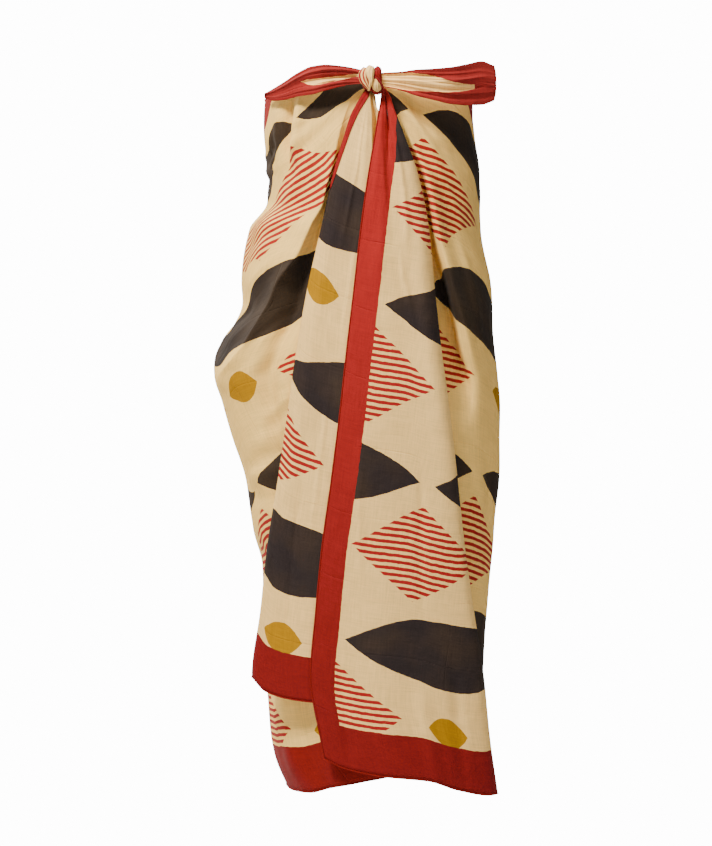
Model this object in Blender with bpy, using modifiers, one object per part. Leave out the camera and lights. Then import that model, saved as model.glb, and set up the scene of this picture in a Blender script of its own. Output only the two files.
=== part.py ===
"""A cotton voile sarong, wound once round the body and tied in front by its two top corners.

Metres, +Z up. The front faces -Y and +X is to the right as one looks at the front. The origin is at
the middle of the ring of cloth at bust height, where the wearer holds the sarong up. A "drop" is a
depth below that ring, and a "turn" is an angle round the body from the middle of the front, to the
right. Left and right are as seen from the front.
"""

from collections import namedtuple

import bmesh
import bpy
import numpy as np

# The cloth: a sheet of 1.80 by 1.15 m, worn with its long side round the body.
CLOTH = 0.0012
SEAM_GAP = 0.0003
HEM_RADIUS = 0.0010
FOLD_RADIUS = 0.0040
SMALLEST_FOLD = 0.0017
TURNED_UNDER = 0.030

# The columns at which the body wrap passes from one stretch to the next: at each side of the body,
# at the middle of the back and at the left of the front.
RIGHT_SEAM = 15
BACK_SEAM = 22
LEFT_SEAM = 28
FRONT_SEAM = 34

# How square the rings are: 2 is an ellipse.
SQUARENESS = 2.2

# The ring of cloth at each drop: its reach to the left and right, in front and behind, and the reach
# of the wider ring on which the two front panels hang.
Section = namedtuple("Section", "drop left right front back panel")
SECTIONS = [
    Section(-0.012, 0.164, 0.158, 0.121, 0.111, 0.180),
    Section(0.056, 0.168, 0.162, 0.126, 0.106, 0.182),
    Section(0.125, 0.161, 0.170, 0.130, 0.104, 0.185),
    Section(0.163, 0.162, 0.170, 0.131, 0.105, 0.190),
    Section(0.206, 0.190, 0.171, 0.132, 0.109, 0.206),
    Section(0.287, 0.202, 0.187, 0.134, 0.120, 0.218),
    Section(0.318, 0.200, 0.189, 0.135, 0.126, 0.222),
    Section(0.380, 0.227, 0.192, 0.137, 0.135, 0.246),
    Section(0.437, 0.244, 0.198, 0.138, 0.143, 0.262),
    Section(0.476, 0.233, 0.200, 0.139, 0.147, 0.256),
    Section(0.538, 0.214, 0.199, 0.139, 0.148, 0.242),
    Section(0.600, 0.195, 0.196, 0.138, 0.146, 0.238),
    Section(0.674, 0.183, 0.188, 0.137, 0.141, 0.236),
    Section(0.729, 0.167, 0.183, 0.136, 0.138, 0.236),
    Section(0.860, 0.160, 0.172, 0.135, 0.134, 0.236),
    Section(0.966, 0.154, 0.168, 0.134, 0.132, 0.238),
    Section(1.028, 0.146, 0.168, 0.134, 0.131, 0.240),
    Section(1.080, 0.127, 0.168, 0.133, 0.130, 0.242),
]

# The body wrap's upper and lower edge all round, and the turn at which it starts and ends.
Edge = namedtuple("Edge", "turn top hem")
EDGES = [
    Edge(0, -0.019, 1.058),
    Edge(12, -0.018, 1.057),
    Edge(22, -0.012, 1.056),
    Edge(45, -0.004, 1.056),
    Edge(90, 0.000, 1.056),
    Edge(180, 0.020, 1.040),
    Edge(270, 0.004, 1.074),
    Edge(290, 0.001, 1.079),
    Edge(314, -0.003, 1.081),
    Edge(333, -0.013, 1.073),
    Edge(346, -0.021, 1.068),
    Edge(358, -0.020, 1.062),
    Edge(370, -0.020, 1.054),
]
Opening = namedtuple("Opening", "share start end")
FRONT_OPENING = [
    Opening(0.0, 5.5, 361.0),
    Opening(0.05, 9.0, 363.0),
    Opening(0.15, 13.0, 366.5),
    Opening(1.0, 16.0, 369.0),
]

# The turns of the four long folds of the body wrap: the valley and the roll beside the right panel,
# the edge of the swag that runs from the knot to the left hip, and the pleat beside the left panel.
Rail = namedtuple("Rail", "drop valley roll swag pleat")
RAILS = [
    Rail(-0.020, 12.0, 15.0, 355.0, 356.5),
    Rail(0.024, 12.5, 15.5, 348.6, 351.5),
    Rail(0.069, 17.0, 20.0, 343.6, 346.8),
    Rail(0.100, 20.5, 23.5, 338.5, 342.0),
    Rail(0.150, 25.5, 28.5, 329.5, 335.0),
    Rail(0.210, 28.5, 34.5, 326.5, 333.0),
    Rail(0.300, 32.5, 40.5, 310.0, 327.0),
    Rail(0.340, 34.5, 45.5, 306.0, 325.0),
    Rail(0.380, 37.0, 50.5, 302.5, 323.0),
    Rail(0.412, 38.0, 54.5, 295.0, 321.0),
    Rail(0.440, 38.5, 56.5, 283.0, 320.0),
    Rail(0.500, 40.0, 58.0, 286.0, 319.0),
    Rail(0.650, 42.0, 60.0, 295.0, 320.0),
    Rail(1.100, 45.0, 62.0, 300.0, 322.0),
]

# The lines that show in front, as x at each drop: the fold that ends the left panel, the cloth's free
# edge, which is the left side of the right panel, and the fold that ends the right panel.
Line = namedtuple("Line", "drop left_fold free_edge right_fold")
FRONT_LINES = [
    Line(-0.010, -0.0060, 0.0150, 0.0215),
    Line(0.000, -0.0105, 0.0165, 0.0255),
    Line(0.030, -0.0270, 0.0120, 0.0380),
    Line(0.070, -0.0420, 0.0055, 0.0540),
    Line(0.120, -0.0570, -0.0030, 0.0715),
    Line(0.200, -0.0753, -0.0145, 0.0885),
    Line(0.300, -0.0980, -0.0260, 0.0985),
    Line(0.400, -0.1155, -0.0378, 0.1095),
    Line(0.500, -0.1297, -0.0488, 0.1228),
    Line(0.600, -0.1445, -0.0615, 0.1340),
    Line(0.700, -0.1605, -0.0755, 0.1448),
    Line(0.800, -0.1715, -0.0852, 0.1590),
    Line(0.900, -0.1845, -0.0932, 0.1745),
    Line(1.000, -0.1845, -0.0772, 0.1848),
    Line(1.085, -0.1845, -0.0600, 0.1970),
]

# The drop of each front panel's hem across the panel.
Hem = namedtuple("Hem", "x drop")
LEFT_HEM = [Hem(-0.1845, 0.902), Hem(-0.160, 0.924), Hem(-0.114, 0.936), Hem(-0.030, 0.944)]
RIGHT_HEM = [
    Hem(-0.070, 1.028),
    Hem(-0.043, 1.042),
    Hem(0.011, 1.054),
    Hem(0.085, 1.062),
    Hem(0.126, 1.076),
    Hem(0.176, 1.085),
    Hem(0.197, 1.081),
]

# How far the two front panels stand out from the body wrap, and how far the left one runs on under
# the right one.
Stand = namedtuple("Stand", "drop left right overlap")
STANDS = [
    Stand(-0.010, 0.0038, 0.0038, -0.0130),
    Stand(0.004, 0.0112, 0.0120, -0.0120),
    Stand(0.030, 0.0118, 0.0172, 0.0010),
    Stand(0.120, 0.0118, 0.0172, 0.0280),
    Stand(0.500, 0.0120, 0.0172, 0.0400),
    Stand(1.085, 0.0120, 0.0172, 0.0400),
]

# How far each of those four folds rises, and the widths of its two flanks.
Ridge = namedtuple("Ridge", "drop rise before after")
RIDGES = {
    "swag": [
        Ridge(-0.02, 0.0005, 0.020, 0.004),
        Ridge(0.03, 0.0020, 0.020, 0.004),
        Ridge(0.07, 0.0050, 0.030, 0.005),
        Ridge(0.15, 0.0100, 0.045, 0.007),
        Ridge(0.21, 0.0120, 0.045, 0.009),
        Ridge(0.30, 0.0120, 0.026, 0.035),
        Ridge(0.34, 0.0110, 0.020, 0.050),
        Ridge(0.41, 0.0080, 0.018, 0.060),
        Ridge(0.47, 0.0005, 0.018, 0.060),
    ],
    "roll": [
        Ridge(0.03, 0.0005, 0.005, 0.016),
        Ridge(0.085, 0.0045, 0.006, 0.018),
        Ridge(0.15, 0.0085, 0.008, 0.022),
        Ridge(0.215, 0.0110, 0.011, 0.026),
        Ridge(0.32, 0.0110, 0.015, 0.030),
        Ridge(0.375, 0.0080, 0.020, 0.035),
        Ridge(0.42, 0.0050, 0.026, 0.040),
        Ridge(0.52, 0.0005, 0.030, 0.040),
    ],
    "pleat": [
        Ridge(0.02, -0.0005, 0.006, 0.006),
        Ridge(0.10, -0.0040, 0.008, 0.009),
        Ridge(0.20, -0.0070, 0.011, 0.014),
        Ridge(0.30, -0.0070, 0.018, 0.020),
        Ridge(0.46, -0.0005, 0.025, 0.025),
    ],
    "valley": [
        Ridge(0.04, -0.0005, 0.006, 0.006),
        Ridge(0.15, -0.0050, 0.009, 0.008),
        Ridge(0.24, -0.0100, 0.012, 0.011),
        Ridge(0.33, -0.0100, 0.014, 0.015),
        Ridge(0.37, -0.0070, 0.016, 0.018),
        Ridge(0.50, -0.0005, 0.020, 0.025),
    ],
}

# Straight folds on the body wrap, mostly round the sides and the back.
Fold = namedtuple("Fold", "turn_top drop_top turn_low drop_low rise width")
FOLDS = [
    Fold(17, 0.01, 50, 0.08, 0.0025, 0.012),
    Fold(19, 0.03, 70, 0.20, 0.0025, 0.018),
    Fold(78, 0.28, 82, 1.10, 0.006, 0.030),
    Fold(106, 0.30, 102, 1.10, 0.008, 0.030),
    Fold(131, 0.55, 128, 1.10, 0.010, 0.034),
    Fold(155, 0.15, 158, 1.10, 0.007, 0.040),
    Fold(182, 0.50, 180, 1.10, 0.011, 0.035),
    Fold(208, 0.05, 212, 1.10, 0.006, 0.035),
    Fold(236, 0.48, 240, 1.10, 0.010, 0.038),
    Fold(262, 0.60, 262, 1.10, 0.006, 0.026),
    Fold(215, 0.10, 262, 0.42, 0.007, 0.030),
    Fold(190, 0.20, 252, 0.54, 0.006, 0.030),
    Fold(150, 0.06, 108, 0.44, 0.006, 0.030),
    Fold(292, 0.50, 318, 0.74, 0.005, 0.028),
    Fold(300, 0.76, 306, 1.10, 0.006, 0.026),
    Fold(336, 0.90, 341, 1.10, 0.005, 0.016),
]

# Soft lengthwise rolls on the two front panels, by their share of the panel's width.
Roll = namedtuple("Roll", "share_top share_low drop_top drop_low rise width")
LEFT_ROLLS = [
    Roll(0.80, 0.86, 0.04, 0.95, 0.0025, 0.10),
    Roll(0.45, 0.52, 0.05, 0.60, -0.0020, 0.14),
]
RIGHT_ROLLS = [
    Roll(0.34, 0.30, 0.02, 0.30, 0.0030, 0.10),
    Roll(0.88, 0.90, 0.10, 0.75, 0.0025, 0.10),
    Roll(0.66, 0.62, 0.10, 1.00, -0.0020, 0.16),
    Roll(0.40, 0.42, 0.70, 1.10, 0.0040, 0.12),
]

# The two ends that stick out of the knot: upper and lower edge and depth at each reach from x = 0.
Tail = namedtuple("Tail", "reach top low depth")
RIGHT_TAIL = [
    Tail(0.0210, 0.0330, 0.0130, 0.1410),
    Tail(0.048, 0.0350, 0.0064, 0.1460),
    Tail(0.068, 0.0380, -0.0008, 0.1470),
    Tail(0.097, 0.0400, -0.0078, 0.1400),
    Tail(0.125, 0.0430, -0.0136, 0.1290),
    Tail(0.149, 0.0480, -0.0150, 0.1150),
    Tail(0.172, 0.0530, -0.0140, 0.1000),
    Tail(0.190, 0.0470, -0.0080, 0.0880),
]
LEFT_TAIL = [
    Tail(0.0235, 0.0370, 0.0170, 0.1410),
    Tail(0.046, 0.0437, 0.0132, 0.1460),
    Tail(0.070, 0.0460, 0.0070, 0.1440),
    Tail(0.092, 0.0437, 0.0009, 0.1340),
    Tail(0.115, 0.0336, -0.0019, 0.1170),
    Tail(0.133, 0.0222, -0.0059, 0.1000),
    Tail(0.150, 0.0124, -0.0070, 0.0810),
    Tail(0.164, 0.0050, -0.0030, 0.0640),
]

# The knot: a soft core and the band of cloth that passes over it.
KNOT_CENTRE = (-0.0015, -0.1404, 0.0220)
KNOT_HALF = (0.0205, 0.0160, 0.0215)
BAND_CLOTH = 0.0022
BAND_HALF_WIDTH = 0.0095

MATERIALS = {
    "cream cotton": (0.86, 0.75, 0.55),
    "red border cotton": (0.62, 0.06, 0.04),
    "red hem": (0.52, 0.05, 0.03),
}


def column(table, name):
    return np.array([getattr(row, name) for row in table], float)


def through(stations, values, at):
    """A smooth curve through the rows of a table, which never swings past them."""
    step = np.diff(stations)
    slope = np.diff(values) / step
    product = slope[:-1] * slope[1:]
    total = np.where(product > 0, slope[:-1] + slope[1:], 1.0)
    tangent = np.concatenate([slope[:1], np.where(product > 0, 2 * product / total, 0), slope[-1:]])
    at = np.clip(at, stations[0], stations[-1])
    i = np.clip(np.searchsorted(stations, at) - 1, 0, len(step) - 1)
    t = (at - stations[i]) / step[i]
    start = (1 + 2 * t) * (1 - t) ** 2 * values[i] + t * (1 - t) ** 2 * step[i] * tangent[i]
    return start + t * t * (3 - 2 * t) * values[i + 1] + t * t * (t - 1) * step[i] * tangent[i + 1]


def follow(table, name, at, along="drop"):
    return through(column(table, along), column(table, name), np.asarray(at, float))


def ease(t):
    """0 below 0, 1 above 1, and smooth between."""
    t = np.clip(t, 0, 1)
    return t * t * (3 - 2 * t)


def bump(distance, before, after):
    """1 on a fold's line, falling away over its two flanks."""
    return np.exp(-((distance / np.where(distance < 0, before, after)) ** 2))


def ring(turn, drop, rise):
    """x and y of the body wrap at a turn in degrees, stood out by rise."""
    side = np.sin(np.radians(turn))
    ahead = np.cos(np.radians(turn))
    wide = np.where(side < 0, follow(SECTIONS, "left", drop), follow(SECTIONS, "right", drop))
    deep = np.where(ahead > 0, follow(SECTIONS, "front", drop), follow(SECTIONS, "back", drop))
    x = wide * np.sign(side) * np.abs(side) ** (2 / SQUARENESS)
    y = -deep * np.sign(ahead) * np.abs(ahead) ** (2 / SQUARENESS)
    out_x = side * deep
    out_y = -ahead * wide
    length = np.hypot(out_x, out_y)
    return x + rise * out_x / length, y + rise * out_y / length


def body_relief(turn, drop):
    """How far the folds raise the body wrap, or sink it."""
    radius = follow(SECTIONS, "left", drop)
    total = np.zeros_like(drop)
    for rail, ridge in RIDGES.items():
        drops = column(ridge, "drop")
        inside = ease((drop - drops[0]) / 0.02) * ease((drops[-1] - drop) / 0.04)
        away = np.radians(turn - follow(RAILS, rail, drop)) * radius
        before = follow(ridge, "before", drop)
        after = follow(ridge, "after", drop)
        total = total + inside * follow(ridge, "rise", drop) * bump(away, before, after)
    for fold in FOLDS:
        share = (drop - fold.drop_top) / (fold.drop_low - fold.drop_top)
        line = fold.turn_top + (fold.turn_low - fold.turn_top) * np.clip(share, 0, 1)
        away = np.radians(turn - line) * radius
        total = total + fold.rise * ease(share / 0.4) * ease((1.08 - share) / 0.3) * bump(
            away, fold.width, fold.width
        )
    return total


def body_turns(rows):
    """The turn of each column of the body wrap: columns run along the four long folds."""
    share = np.linspace(0, 1, rows) ** 1.2
    drop = -0.02 + 1.09 * share
    rails = [
        (follow(FRONT_OPENING, "start", share, "share"), 4),
        (follow(RAILS, "valley", drop), 3),
        (follow(RAILS, "roll", drop), RIGHT_SEAM - 7),
        (np.full(rows, 90.0), LEFT_SEAM - RIGHT_SEAM),
        (np.full(rows, 262.0), 10),
        (follow(RAILS, "swag", drop), 3),
        (follow(RAILS, "pleat", drop), 5),
        (follow(FRONT_OPENING, "end", share, "share"), 0),
    ]
    parts = []
    for (here, steps), (beyond, _) in zip(rails, rails[1:]):
        step = np.arange(steps) / steps
        parts.append(here[:, None] + (beyond - here)[:, None] * step)
    parts.append(rails[-1][0][:, None])
    return share[:, None], np.concatenate(parts, axis=1)


def body_grid(rows):
    """Sections of the whole body wrap from its start beside the middle, round the back, to its end."""
    share, turn = body_turns(rows)
    top = follow(EDGES, "top", turn, "turn")
    hem = follow(EDGES, "hem", turn, "turn")
    drop = top + (hem - top) * share
    x, y = ring(turn, drop, body_relief(turn, drop))
    return np.stack([x, y, -drop], axis=-1)


def stretch(grid, first, last):
    """The columns of the body wrap from first to last, drawn back from the seam at either side."""
    part = grid[:, first : last + 1].copy()
    for edge, inner, seam in ((0, 1, first > 0), (-1, -2, last < grid.shape[1] - 1)):
        away = part[:, inner] - part[:, edge]
        away = away / np.linalg.norm(away, axis=1, keepdims=True)
        part[:, edge] += seam * SEAM_GAP * away
    return part


def panel_depth(x, drop, stand):
    """How far forward a front panel lies: on the wider ring, stood out from the body wrap."""
    wide = follow(SECTIONS, "panel", drop)
    deep = follow(SECTIONS, "front", drop) + stand
    return deep * (1 - np.abs(x / wide) ** SQUARENESS) ** (1 / SQUARENESS)


def panel_grid(rows, columns, inner, outer, hem, stand, rolls, fold_side):
    """A front panel from its inner edge to its fold, then round the fold and back under itself.

    inner and outer give x at a drop. fold_side is 1 where the fold is to the right, and -1 to the left.
    """
    shares = np.linspace(0, 1, columns)
    share = np.linspace(0, 1, rows)[:, None] ** 1.15
    top = FRONT_LINES[0].drop
    low_x = inner(1.03) + (outer(1.03) - inner(1.03)) * shares[None, :]
    drop = top + (follow(hem, "drop", low_x, "x") - top) * share
    x = inner(drop) + (outer(drop) - inner(drop)) * shares[None, :]
    width = np.abs(outer(drop) - inner(drop))
    relief = np.zeros_like(x)
    for roll in rolls:
        down = (drop - roll.drop_top) / (roll.drop_low - roll.drop_top)
        line = roll.share_top + (roll.share_low - roll.share_top) * np.clip(down, 0, 1)
        fades = ease(down / 0.3) * ease((1.08 - down) / 0.3)
        height = np.clip(roll.rise, -0.05 * width, 0.05 * width)
        relief = relief + height * fades * bump(shares[None, :] - line, roll.width, roll.width)
    y = -panel_depth(x, drop, follow(STANDS, stand, drop)) - relief
    # The fold is an arc beyond the last column, and the cloth then runs back behind the panel.
    slope_x = x[:, -1:] - x[:, -2:-1]
    slope_y = y[:, -1:] - y[:, -2:-1]
    length = np.hypot(slope_x, slope_y)
    along_x, along_y = slope_x / length, slope_y / length
    in_x, in_y = -along_y * fold_side, along_x * fold_side
    stood = follow(STANDS, stand, drop[:, -1:])
    radius = np.clip(0.35 * stood, SMALLEST_FOLD, FOLD_RADIUS)
    angle = np.radians([45, 90, 135, 180])[None, :]
    arc_x = x[:, -1:] + radius * (np.sin(angle) * along_x + (1 - np.cos(angle)) * in_x)
    arc_y = y[:, -1:] + radius * (np.sin(angle) * along_y + (1 - np.cos(angle)) * in_y)
    under = np.minimum(TURNED_UNDER, 0.4 * width[:, -1:]) * np.array([[0.5, 1.0]])
    back_x = arc_x[:, -1:] - under * along_x
    level = panel_depth(back_x, drop[:, -1:], stood) - panel_depth(x[:, -1:], drop[:, -1:], stood)
    back_y = arc_y[:, -1:] - level
    all_x = np.concatenate([x, arc_x, back_x], axis=1)
    all_y = np.concatenate([y, arc_y, back_y], axis=1)
    beyond = np.repeat(drop[:, -1:], arc_x.shape[1] + back_x.shape[1], axis=1)
    return np.stack([all_x, all_y, -np.concatenate([drop, beyond], axis=1)], axis=-1)


def left_fold(drop):
    return follow(FRONT_LINES, "left_fold", drop)


def free_edge(drop):
    return follow(FRONT_LINES, "free_edge", drop)


def right_fold(drop):
    return follow(FRONT_LINES, "right_fold", drop)


def left_inner(drop):
    """The hidden side of the left panel, which runs on under the right one."""
    return free_edge(drop) + follow(STANDS, "overlap", drop)


def knot_reach(height):
    """Half the width of the knot's core at a height, at the depth where the tails leave it."""
    lift = np.abs((height - KNOT_CENTRE[2]) / KNOT_HALF[2])
    return KNOT_HALF[0] * (1 - np.minimum(lift, 0.95) ** 3) ** (1 / 3)


def tail_grid(table, side, gathers, lean):
    """An end of the cloth from the knot outwards, with its gathers running out along it."""
    out = np.linspace(0, 1, 12)[None, :]
    across = np.linspace(0, 1, 10)[:, None]
    reaches = column(table, "reach")
    bow = lean * (1 - np.abs(2 * across - 1) ** 3) * out**4
    reach = reaches[0] + (reaches[-1] - reaches[0]) * out + 0 * across
    top = follow(table, "top", reach, "reach")
    low = follow(table, "low", reach, "reach")
    height = top + (low - top) * across
    root = side * KNOT_CENTRE[0] + knot_reach(height[:, :1]) + SEAM_GAP
    reach = reach + (root - reaches[0]) * (1 - ease(out / 0.2))
    ripple = np.zeros_like(reach)
    for line, rise, width in gathers:
        ripple = ripple + rise * bump(across - line, width, width)
    fades = ease(out / 0.25) * (1 - 0.6 * ease((out - 0.55) / 0.45))
    depth = follow(table, "depth", reach, "reach") + ripple * fades
    return np.stack([side * (reach + bow), -depth, height], axis=-1)


def material(name):
    found = bpy.data.materials.get(name)
    if found:
        return found
    made = bpy.data.materials.new(name)
    made.use_nodes = True
    shader = made.node_tree.nodes["Principled BSDF"]
    shader.inputs["Base Color"].default_value = (*MATERIALS[name], 1)
    shader.inputs["Roughness"].default_value = 0.85
    shader.inputs["Metallic"].default_value = 0
    return made


def place(name, data, colour):
    made = bpy.data.objects.new(name, data)
    made.data.materials.append(material(colour))
    bpy.data.collections["sarong"].objects.link(made)
    return made


def cloth(name, grid, colour, faces_left=False, thickness=CLOTH):
    """A wall of cloth behind a grid of points on its outer side."""
    rows, columns = grid.shape[:2]
    ids = np.arange(rows * columns).reshape(rows, columns)
    quads = np.stack([ids[:-1, :-1], ids[1:, :-1], ids[1:, 1:], ids[:-1, 1:]], axis=-1).reshape(-1, 4)
    if faces_left:
        quads = quads[:, ::-1]
    mesh = bpy.data.meshes.new(name)
    mesh.from_pydata(grid.reshape(-1, 3).tolist(), [], quads.tolist())
    mesh.shade_smooth()
    wall = place(name, mesh, colour).modifiers.new("cloth", "SOLIDIFY")
    wall.thickness = thickness
    wall.offset = -1
    wall.use_even_offset = False


def hem_path(edge, inward, inset=0.0):
    """A hem's line just beyond an edge of the cloth. inward is the row of points beside that edge."""
    beyond = edge - inward
    beyond = beyond / np.linalg.norm(beyond, axis=1, keepdims=True)
    along = np.gradient(edge, axis=0)
    along = along / np.linalg.norm(along, axis=1, keepdims=True)
    through_wall = np.cross(along, beyond)
    through_wall = through_wall / np.linalg.norm(through_wall, axis=1, keepdims=True)
    path = edge + beyond * (HEM_RADIUS + 2 * SEAM_GAP) + through_wall * inset
    return path


def rolled_hem(name, path, colour="red hem"):
    """The cloth's edge, rolled and stitched down: a thin cord of cloth along the path."""
    curve = bpy.data.curves.new(name, "CURVE")
    curve.dimensions = "3D"
    curve.bevel_depth = HEM_RADIUS
    curve.bevel_resolution = 0
    curve.use_fill_caps = True
    spline = curve.splines.new("POLY")
    spline.points.add(len(path) - 1)
    spline.points.foreach_set("co", np.column_stack([path, np.ones(len(path))]).ravel())
    place(name, curve, colour)


def knot_core():
    """The bunched cloth inside the knot: a squarish ball."""
    mesh = bpy.data.meshes.new("knot_core")
    ball = bmesh.new()
    bmesh.ops.create_uvsphere(ball, u_segments=20, v_segments=12, radius=1.0)
    for vertex in ball.verts:
        direction = np.array(vertex.co)
        squarish = direction / (np.abs(direction) ** 3).sum() ** (1 / 3)
        vertex.co = squarish * np.array(KNOT_HALF) + np.array(KNOT_CENTRE)
    ball.to_mesh(mesh)
    ball.free()
    mesh.shade_smooth()
    place("knot_core", mesh, "cream cotton")


def knot_band():
    """The band over the knot, from behind its top, down its front and under it."""
    round_it = np.radians(np.linspace(62, -66, 12))[:, None]
    across = np.linspace(-1, 1, 6)[None, :]
    lean = 0.16 * np.sin(round_it)
    side = across * BAND_HALF_WIDTH * (0.72 + 0.28 * np.cos(round_it)) / KNOT_HALF[0] + lean
    direction = np.stack(
        [side + 0 * round_it, -np.cos(round_it) + 0 * side, np.sin(round_it) + 0 * side], axis=-1
    )
    squarish = direction / (np.abs(direction) ** 3).sum(axis=-1, keepdims=True) ** (1 / 3)
    clear = 1 + (BAND_CLOTH + 0.0006 + 0.0008 * (1 - across[..., None] ** 2)) / KNOT_HALF[1]
    grid = squarish * clear * np.array(KNOT_HALF) + np.array(KNOT_CENTRE)
    cloth("knot_band", grid, "cream cotton", thickness=BAND_CLOTH)


def main():
    for old in list(bpy.data.objects):
        bpy.data.objects.remove(old)
    sarong = bpy.data.collections.new("sarong")
    bpy.context.scene.collection.children.link(sarong)

    body = body_grid(27)
    cloth("right_side_wrap", stretch(body, 0, RIGHT_SEAM), "cream cotton")
    cloth("right_back_wrap", stretch(body, RIGHT_SEAM, BACK_SEAM), "cream cotton")
    cloth("left_back_wrap", stretch(body, BACK_SEAM, LEFT_SEAM), "cream cotton")
    cloth("left_side_wrap", stretch(body, LEFT_SEAM, FRONT_SEAM), "cream cotton")
    cloth("left_front_wrap", stretch(body, FRONT_SEAM, body.shape[1] - 1), "cream cotton")
    rolled_hem("body_lower_hem", hem_path(body[-1], body[-2], -CLOTH / 2))
    rolled_hem("body_upper_hem", hem_path(body[0], body[1], CLOTH / 2))

    left = panel_grid(22, 10, left_inner, left_fold, LEFT_HEM, "left", LEFT_ROLLS, -1)
    cloth("left_front_panel", left, "cream cotton", faces_left=True)
    rolled_hem("left_panel_hem", hem_path(left[-1], left[-2], CLOTH / 2))
    rolled_hem("left_panel_edge_hem", hem_path(left[4:, -1], left[4:, -2], -CLOTH / 2))

    right = panel_grid(24, 13, free_edge, right_fold, RIGHT_HEM, "right", RIGHT_ROLLS, 1)
    cloth("right_front_panel", right, "cream cotton")
    rolled_hem("right_panel_hem", hem_path(right[-1], right[-2], -CLOTH / 2))
    rolled_hem("right_panel_edge_hem", hem_path(right[:-1, 0], right[:-1, 1], CLOTH / 2))

    knot_core()
    knot_band()

    right_gathers = [(0.20, -0.0020, 0.10), (0.48, 0.0045, 0.16), (0.78, -0.0015, 0.10)]
    right_tail = tail_grid(RIGHT_TAIL, 1, right_gathers, 0.0035)
    cloth("right_tail", right_tail, "red border cotton")
    rolled_hem("right_tail_end_hem", hem_path(right_tail[:, -1], right_tail[:, -2]))

    left_gathers = [(0.22, 0.0035, 0.14), (0.52, -0.0030, 0.12), (0.82, 0.0030, 0.12)]
    left_tail = tail_grid(LEFT_TAIL, -1, left_gathers, 0.001)
    cloth("left_tail", left_tail, "red border cotton", faces_left=True)
    rolled_hem("left_tail_end_hem", hem_path(left_tail[:, -1], left_tail[:, -2]))


main()
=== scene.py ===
"""A cotton voile sarong, wound once round the body and tied in front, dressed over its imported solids.

Metres, +Z up, the front towards -Y. A "drop" is a depth below the ring of cloth at bust height, and a
"turn" is an angle round the body from the middle of the front, to the right as one looks at it.
"""

from collections import namedtuple

import bpy
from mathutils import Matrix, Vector
import numpy as np


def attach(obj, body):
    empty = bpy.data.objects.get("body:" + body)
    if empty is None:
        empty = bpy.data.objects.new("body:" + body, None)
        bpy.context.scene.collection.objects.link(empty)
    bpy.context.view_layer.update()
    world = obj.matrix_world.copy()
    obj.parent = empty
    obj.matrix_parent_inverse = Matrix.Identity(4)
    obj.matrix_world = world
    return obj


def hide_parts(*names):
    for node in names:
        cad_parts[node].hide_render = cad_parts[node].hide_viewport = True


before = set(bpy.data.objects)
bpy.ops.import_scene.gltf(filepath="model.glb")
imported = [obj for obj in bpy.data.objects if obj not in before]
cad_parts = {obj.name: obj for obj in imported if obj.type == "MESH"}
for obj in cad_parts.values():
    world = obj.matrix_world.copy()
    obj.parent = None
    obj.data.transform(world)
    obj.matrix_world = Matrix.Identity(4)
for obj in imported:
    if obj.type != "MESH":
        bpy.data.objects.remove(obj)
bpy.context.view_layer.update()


# The photographer's corner: a round pale floor in a white room, with a level camera a long way back.
# Two soft lamps stand in front, the stronger one on the left. One hangs above, and one stands behind
# on the left.

PHOTO_PIXELS = (712, 846)
METRES_A_PIXEL = 0.00155
MIDDLE_PIXEL_AT_X0 = 371
TOP_PIXEL_AT_Z0 = 95
CAMERA_DISTANCE = 14.0
SHARP_PLANE_Y = -0.11
FLOOR_Z = -1.36
FLOOR_RADIUS = 3.0
FLOOR_RINGS = 12
FLOOR_SPOKES = 97
WARM_WHITE = (1.0, 0.97, 0.93)
ROOM_LIGHT = 0.15
WALLS_AS_SEEN = 14.0

camera_data = bpy.data.cameras.new("camera")
camera_data.sensor_fit = "HORIZONTAL"
camera_data.lens = camera_data.sensor_width * CAMERA_DISTANCE / (PHOTO_PIXELS[0] * METRES_A_PIXEL)
camera_data.clip_end = 40
camera = bpy.data.objects.new("camera", camera_data)
camera.location = (
    (PHOTO_PIXELS[0] / 2 - MIDDLE_PIXEL_AT_X0) * METRES_A_PIXEL,
    SHARP_PLANE_Y - CAMERA_DISTANCE,
    (TOP_PIXEL_AT_Z0 - PHOTO_PIXELS[1] / 2) * METRES_A_PIXEL,
)
camera.rotation_euler = (np.pi / 2, 0, 0)
bpy.context.collection.objects.link(camera)
bpy.context.scene.camera = camera


def soft_light(name, place, aim, size, watts, colour):
    """A square area lamp at a place, turned to face a point."""
    lamp = bpy.data.lights.new(name, "AREA")
    lamp.shape = "SQUARE"
    lamp.size = size
    lamp.energy = watts
    lamp.color = colour
    made = bpy.data.objects.new(name, lamp)
    made.location = place
    made.rotation_euler = (Vector(aim) - Vector(place)).to_track_quat("-Z", "Y").to_euler()
    bpy.context.collection.objects.link(made)


soft_light("left", (-1.35, -1.75, 2.05), (0, 0, -0.1), 0.7, 232, WARM_WHITE)
soft_light("right", (1.2, -3.2, 1.7), (0, 0, -0.15), 1.2, 17, WARM_WHITE)
soft_light("above", (0.15, -0.95, 2.0), (0, 0, -0.20), 1.2, 44, (1.0, 0.98, 0.95))
soft_light("behind", (-2.2, 2.1, 1.6), (0, 0, -0.40), 0.9, 140, WARM_WHITE)

# The room lights the sarong a little, and looks white behind it.
world = bpy.data.worlds.new("white room")
world.use_nodes = True
room = world.node_tree
seen = room.nodes.new("ShaderNodeLightPath")
walls = room.nodes["Background"]
walls.inputs["Color"].default_value = (1, 1, 1, 1)
strength = room.nodes.new("ShaderNodeMapRange")
strength.inputs["To Min"].default_value = ROOM_LIGHT
strength.inputs["To Max"].default_value = WALLS_AS_SEEN
room.links.new(seen.outputs["Is Camera Ray"], strength.inputs["Value"])
room.links.new(strength.outputs["Result"], walls.inputs["Strength"])
bpy.context.scene.world = world


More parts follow.
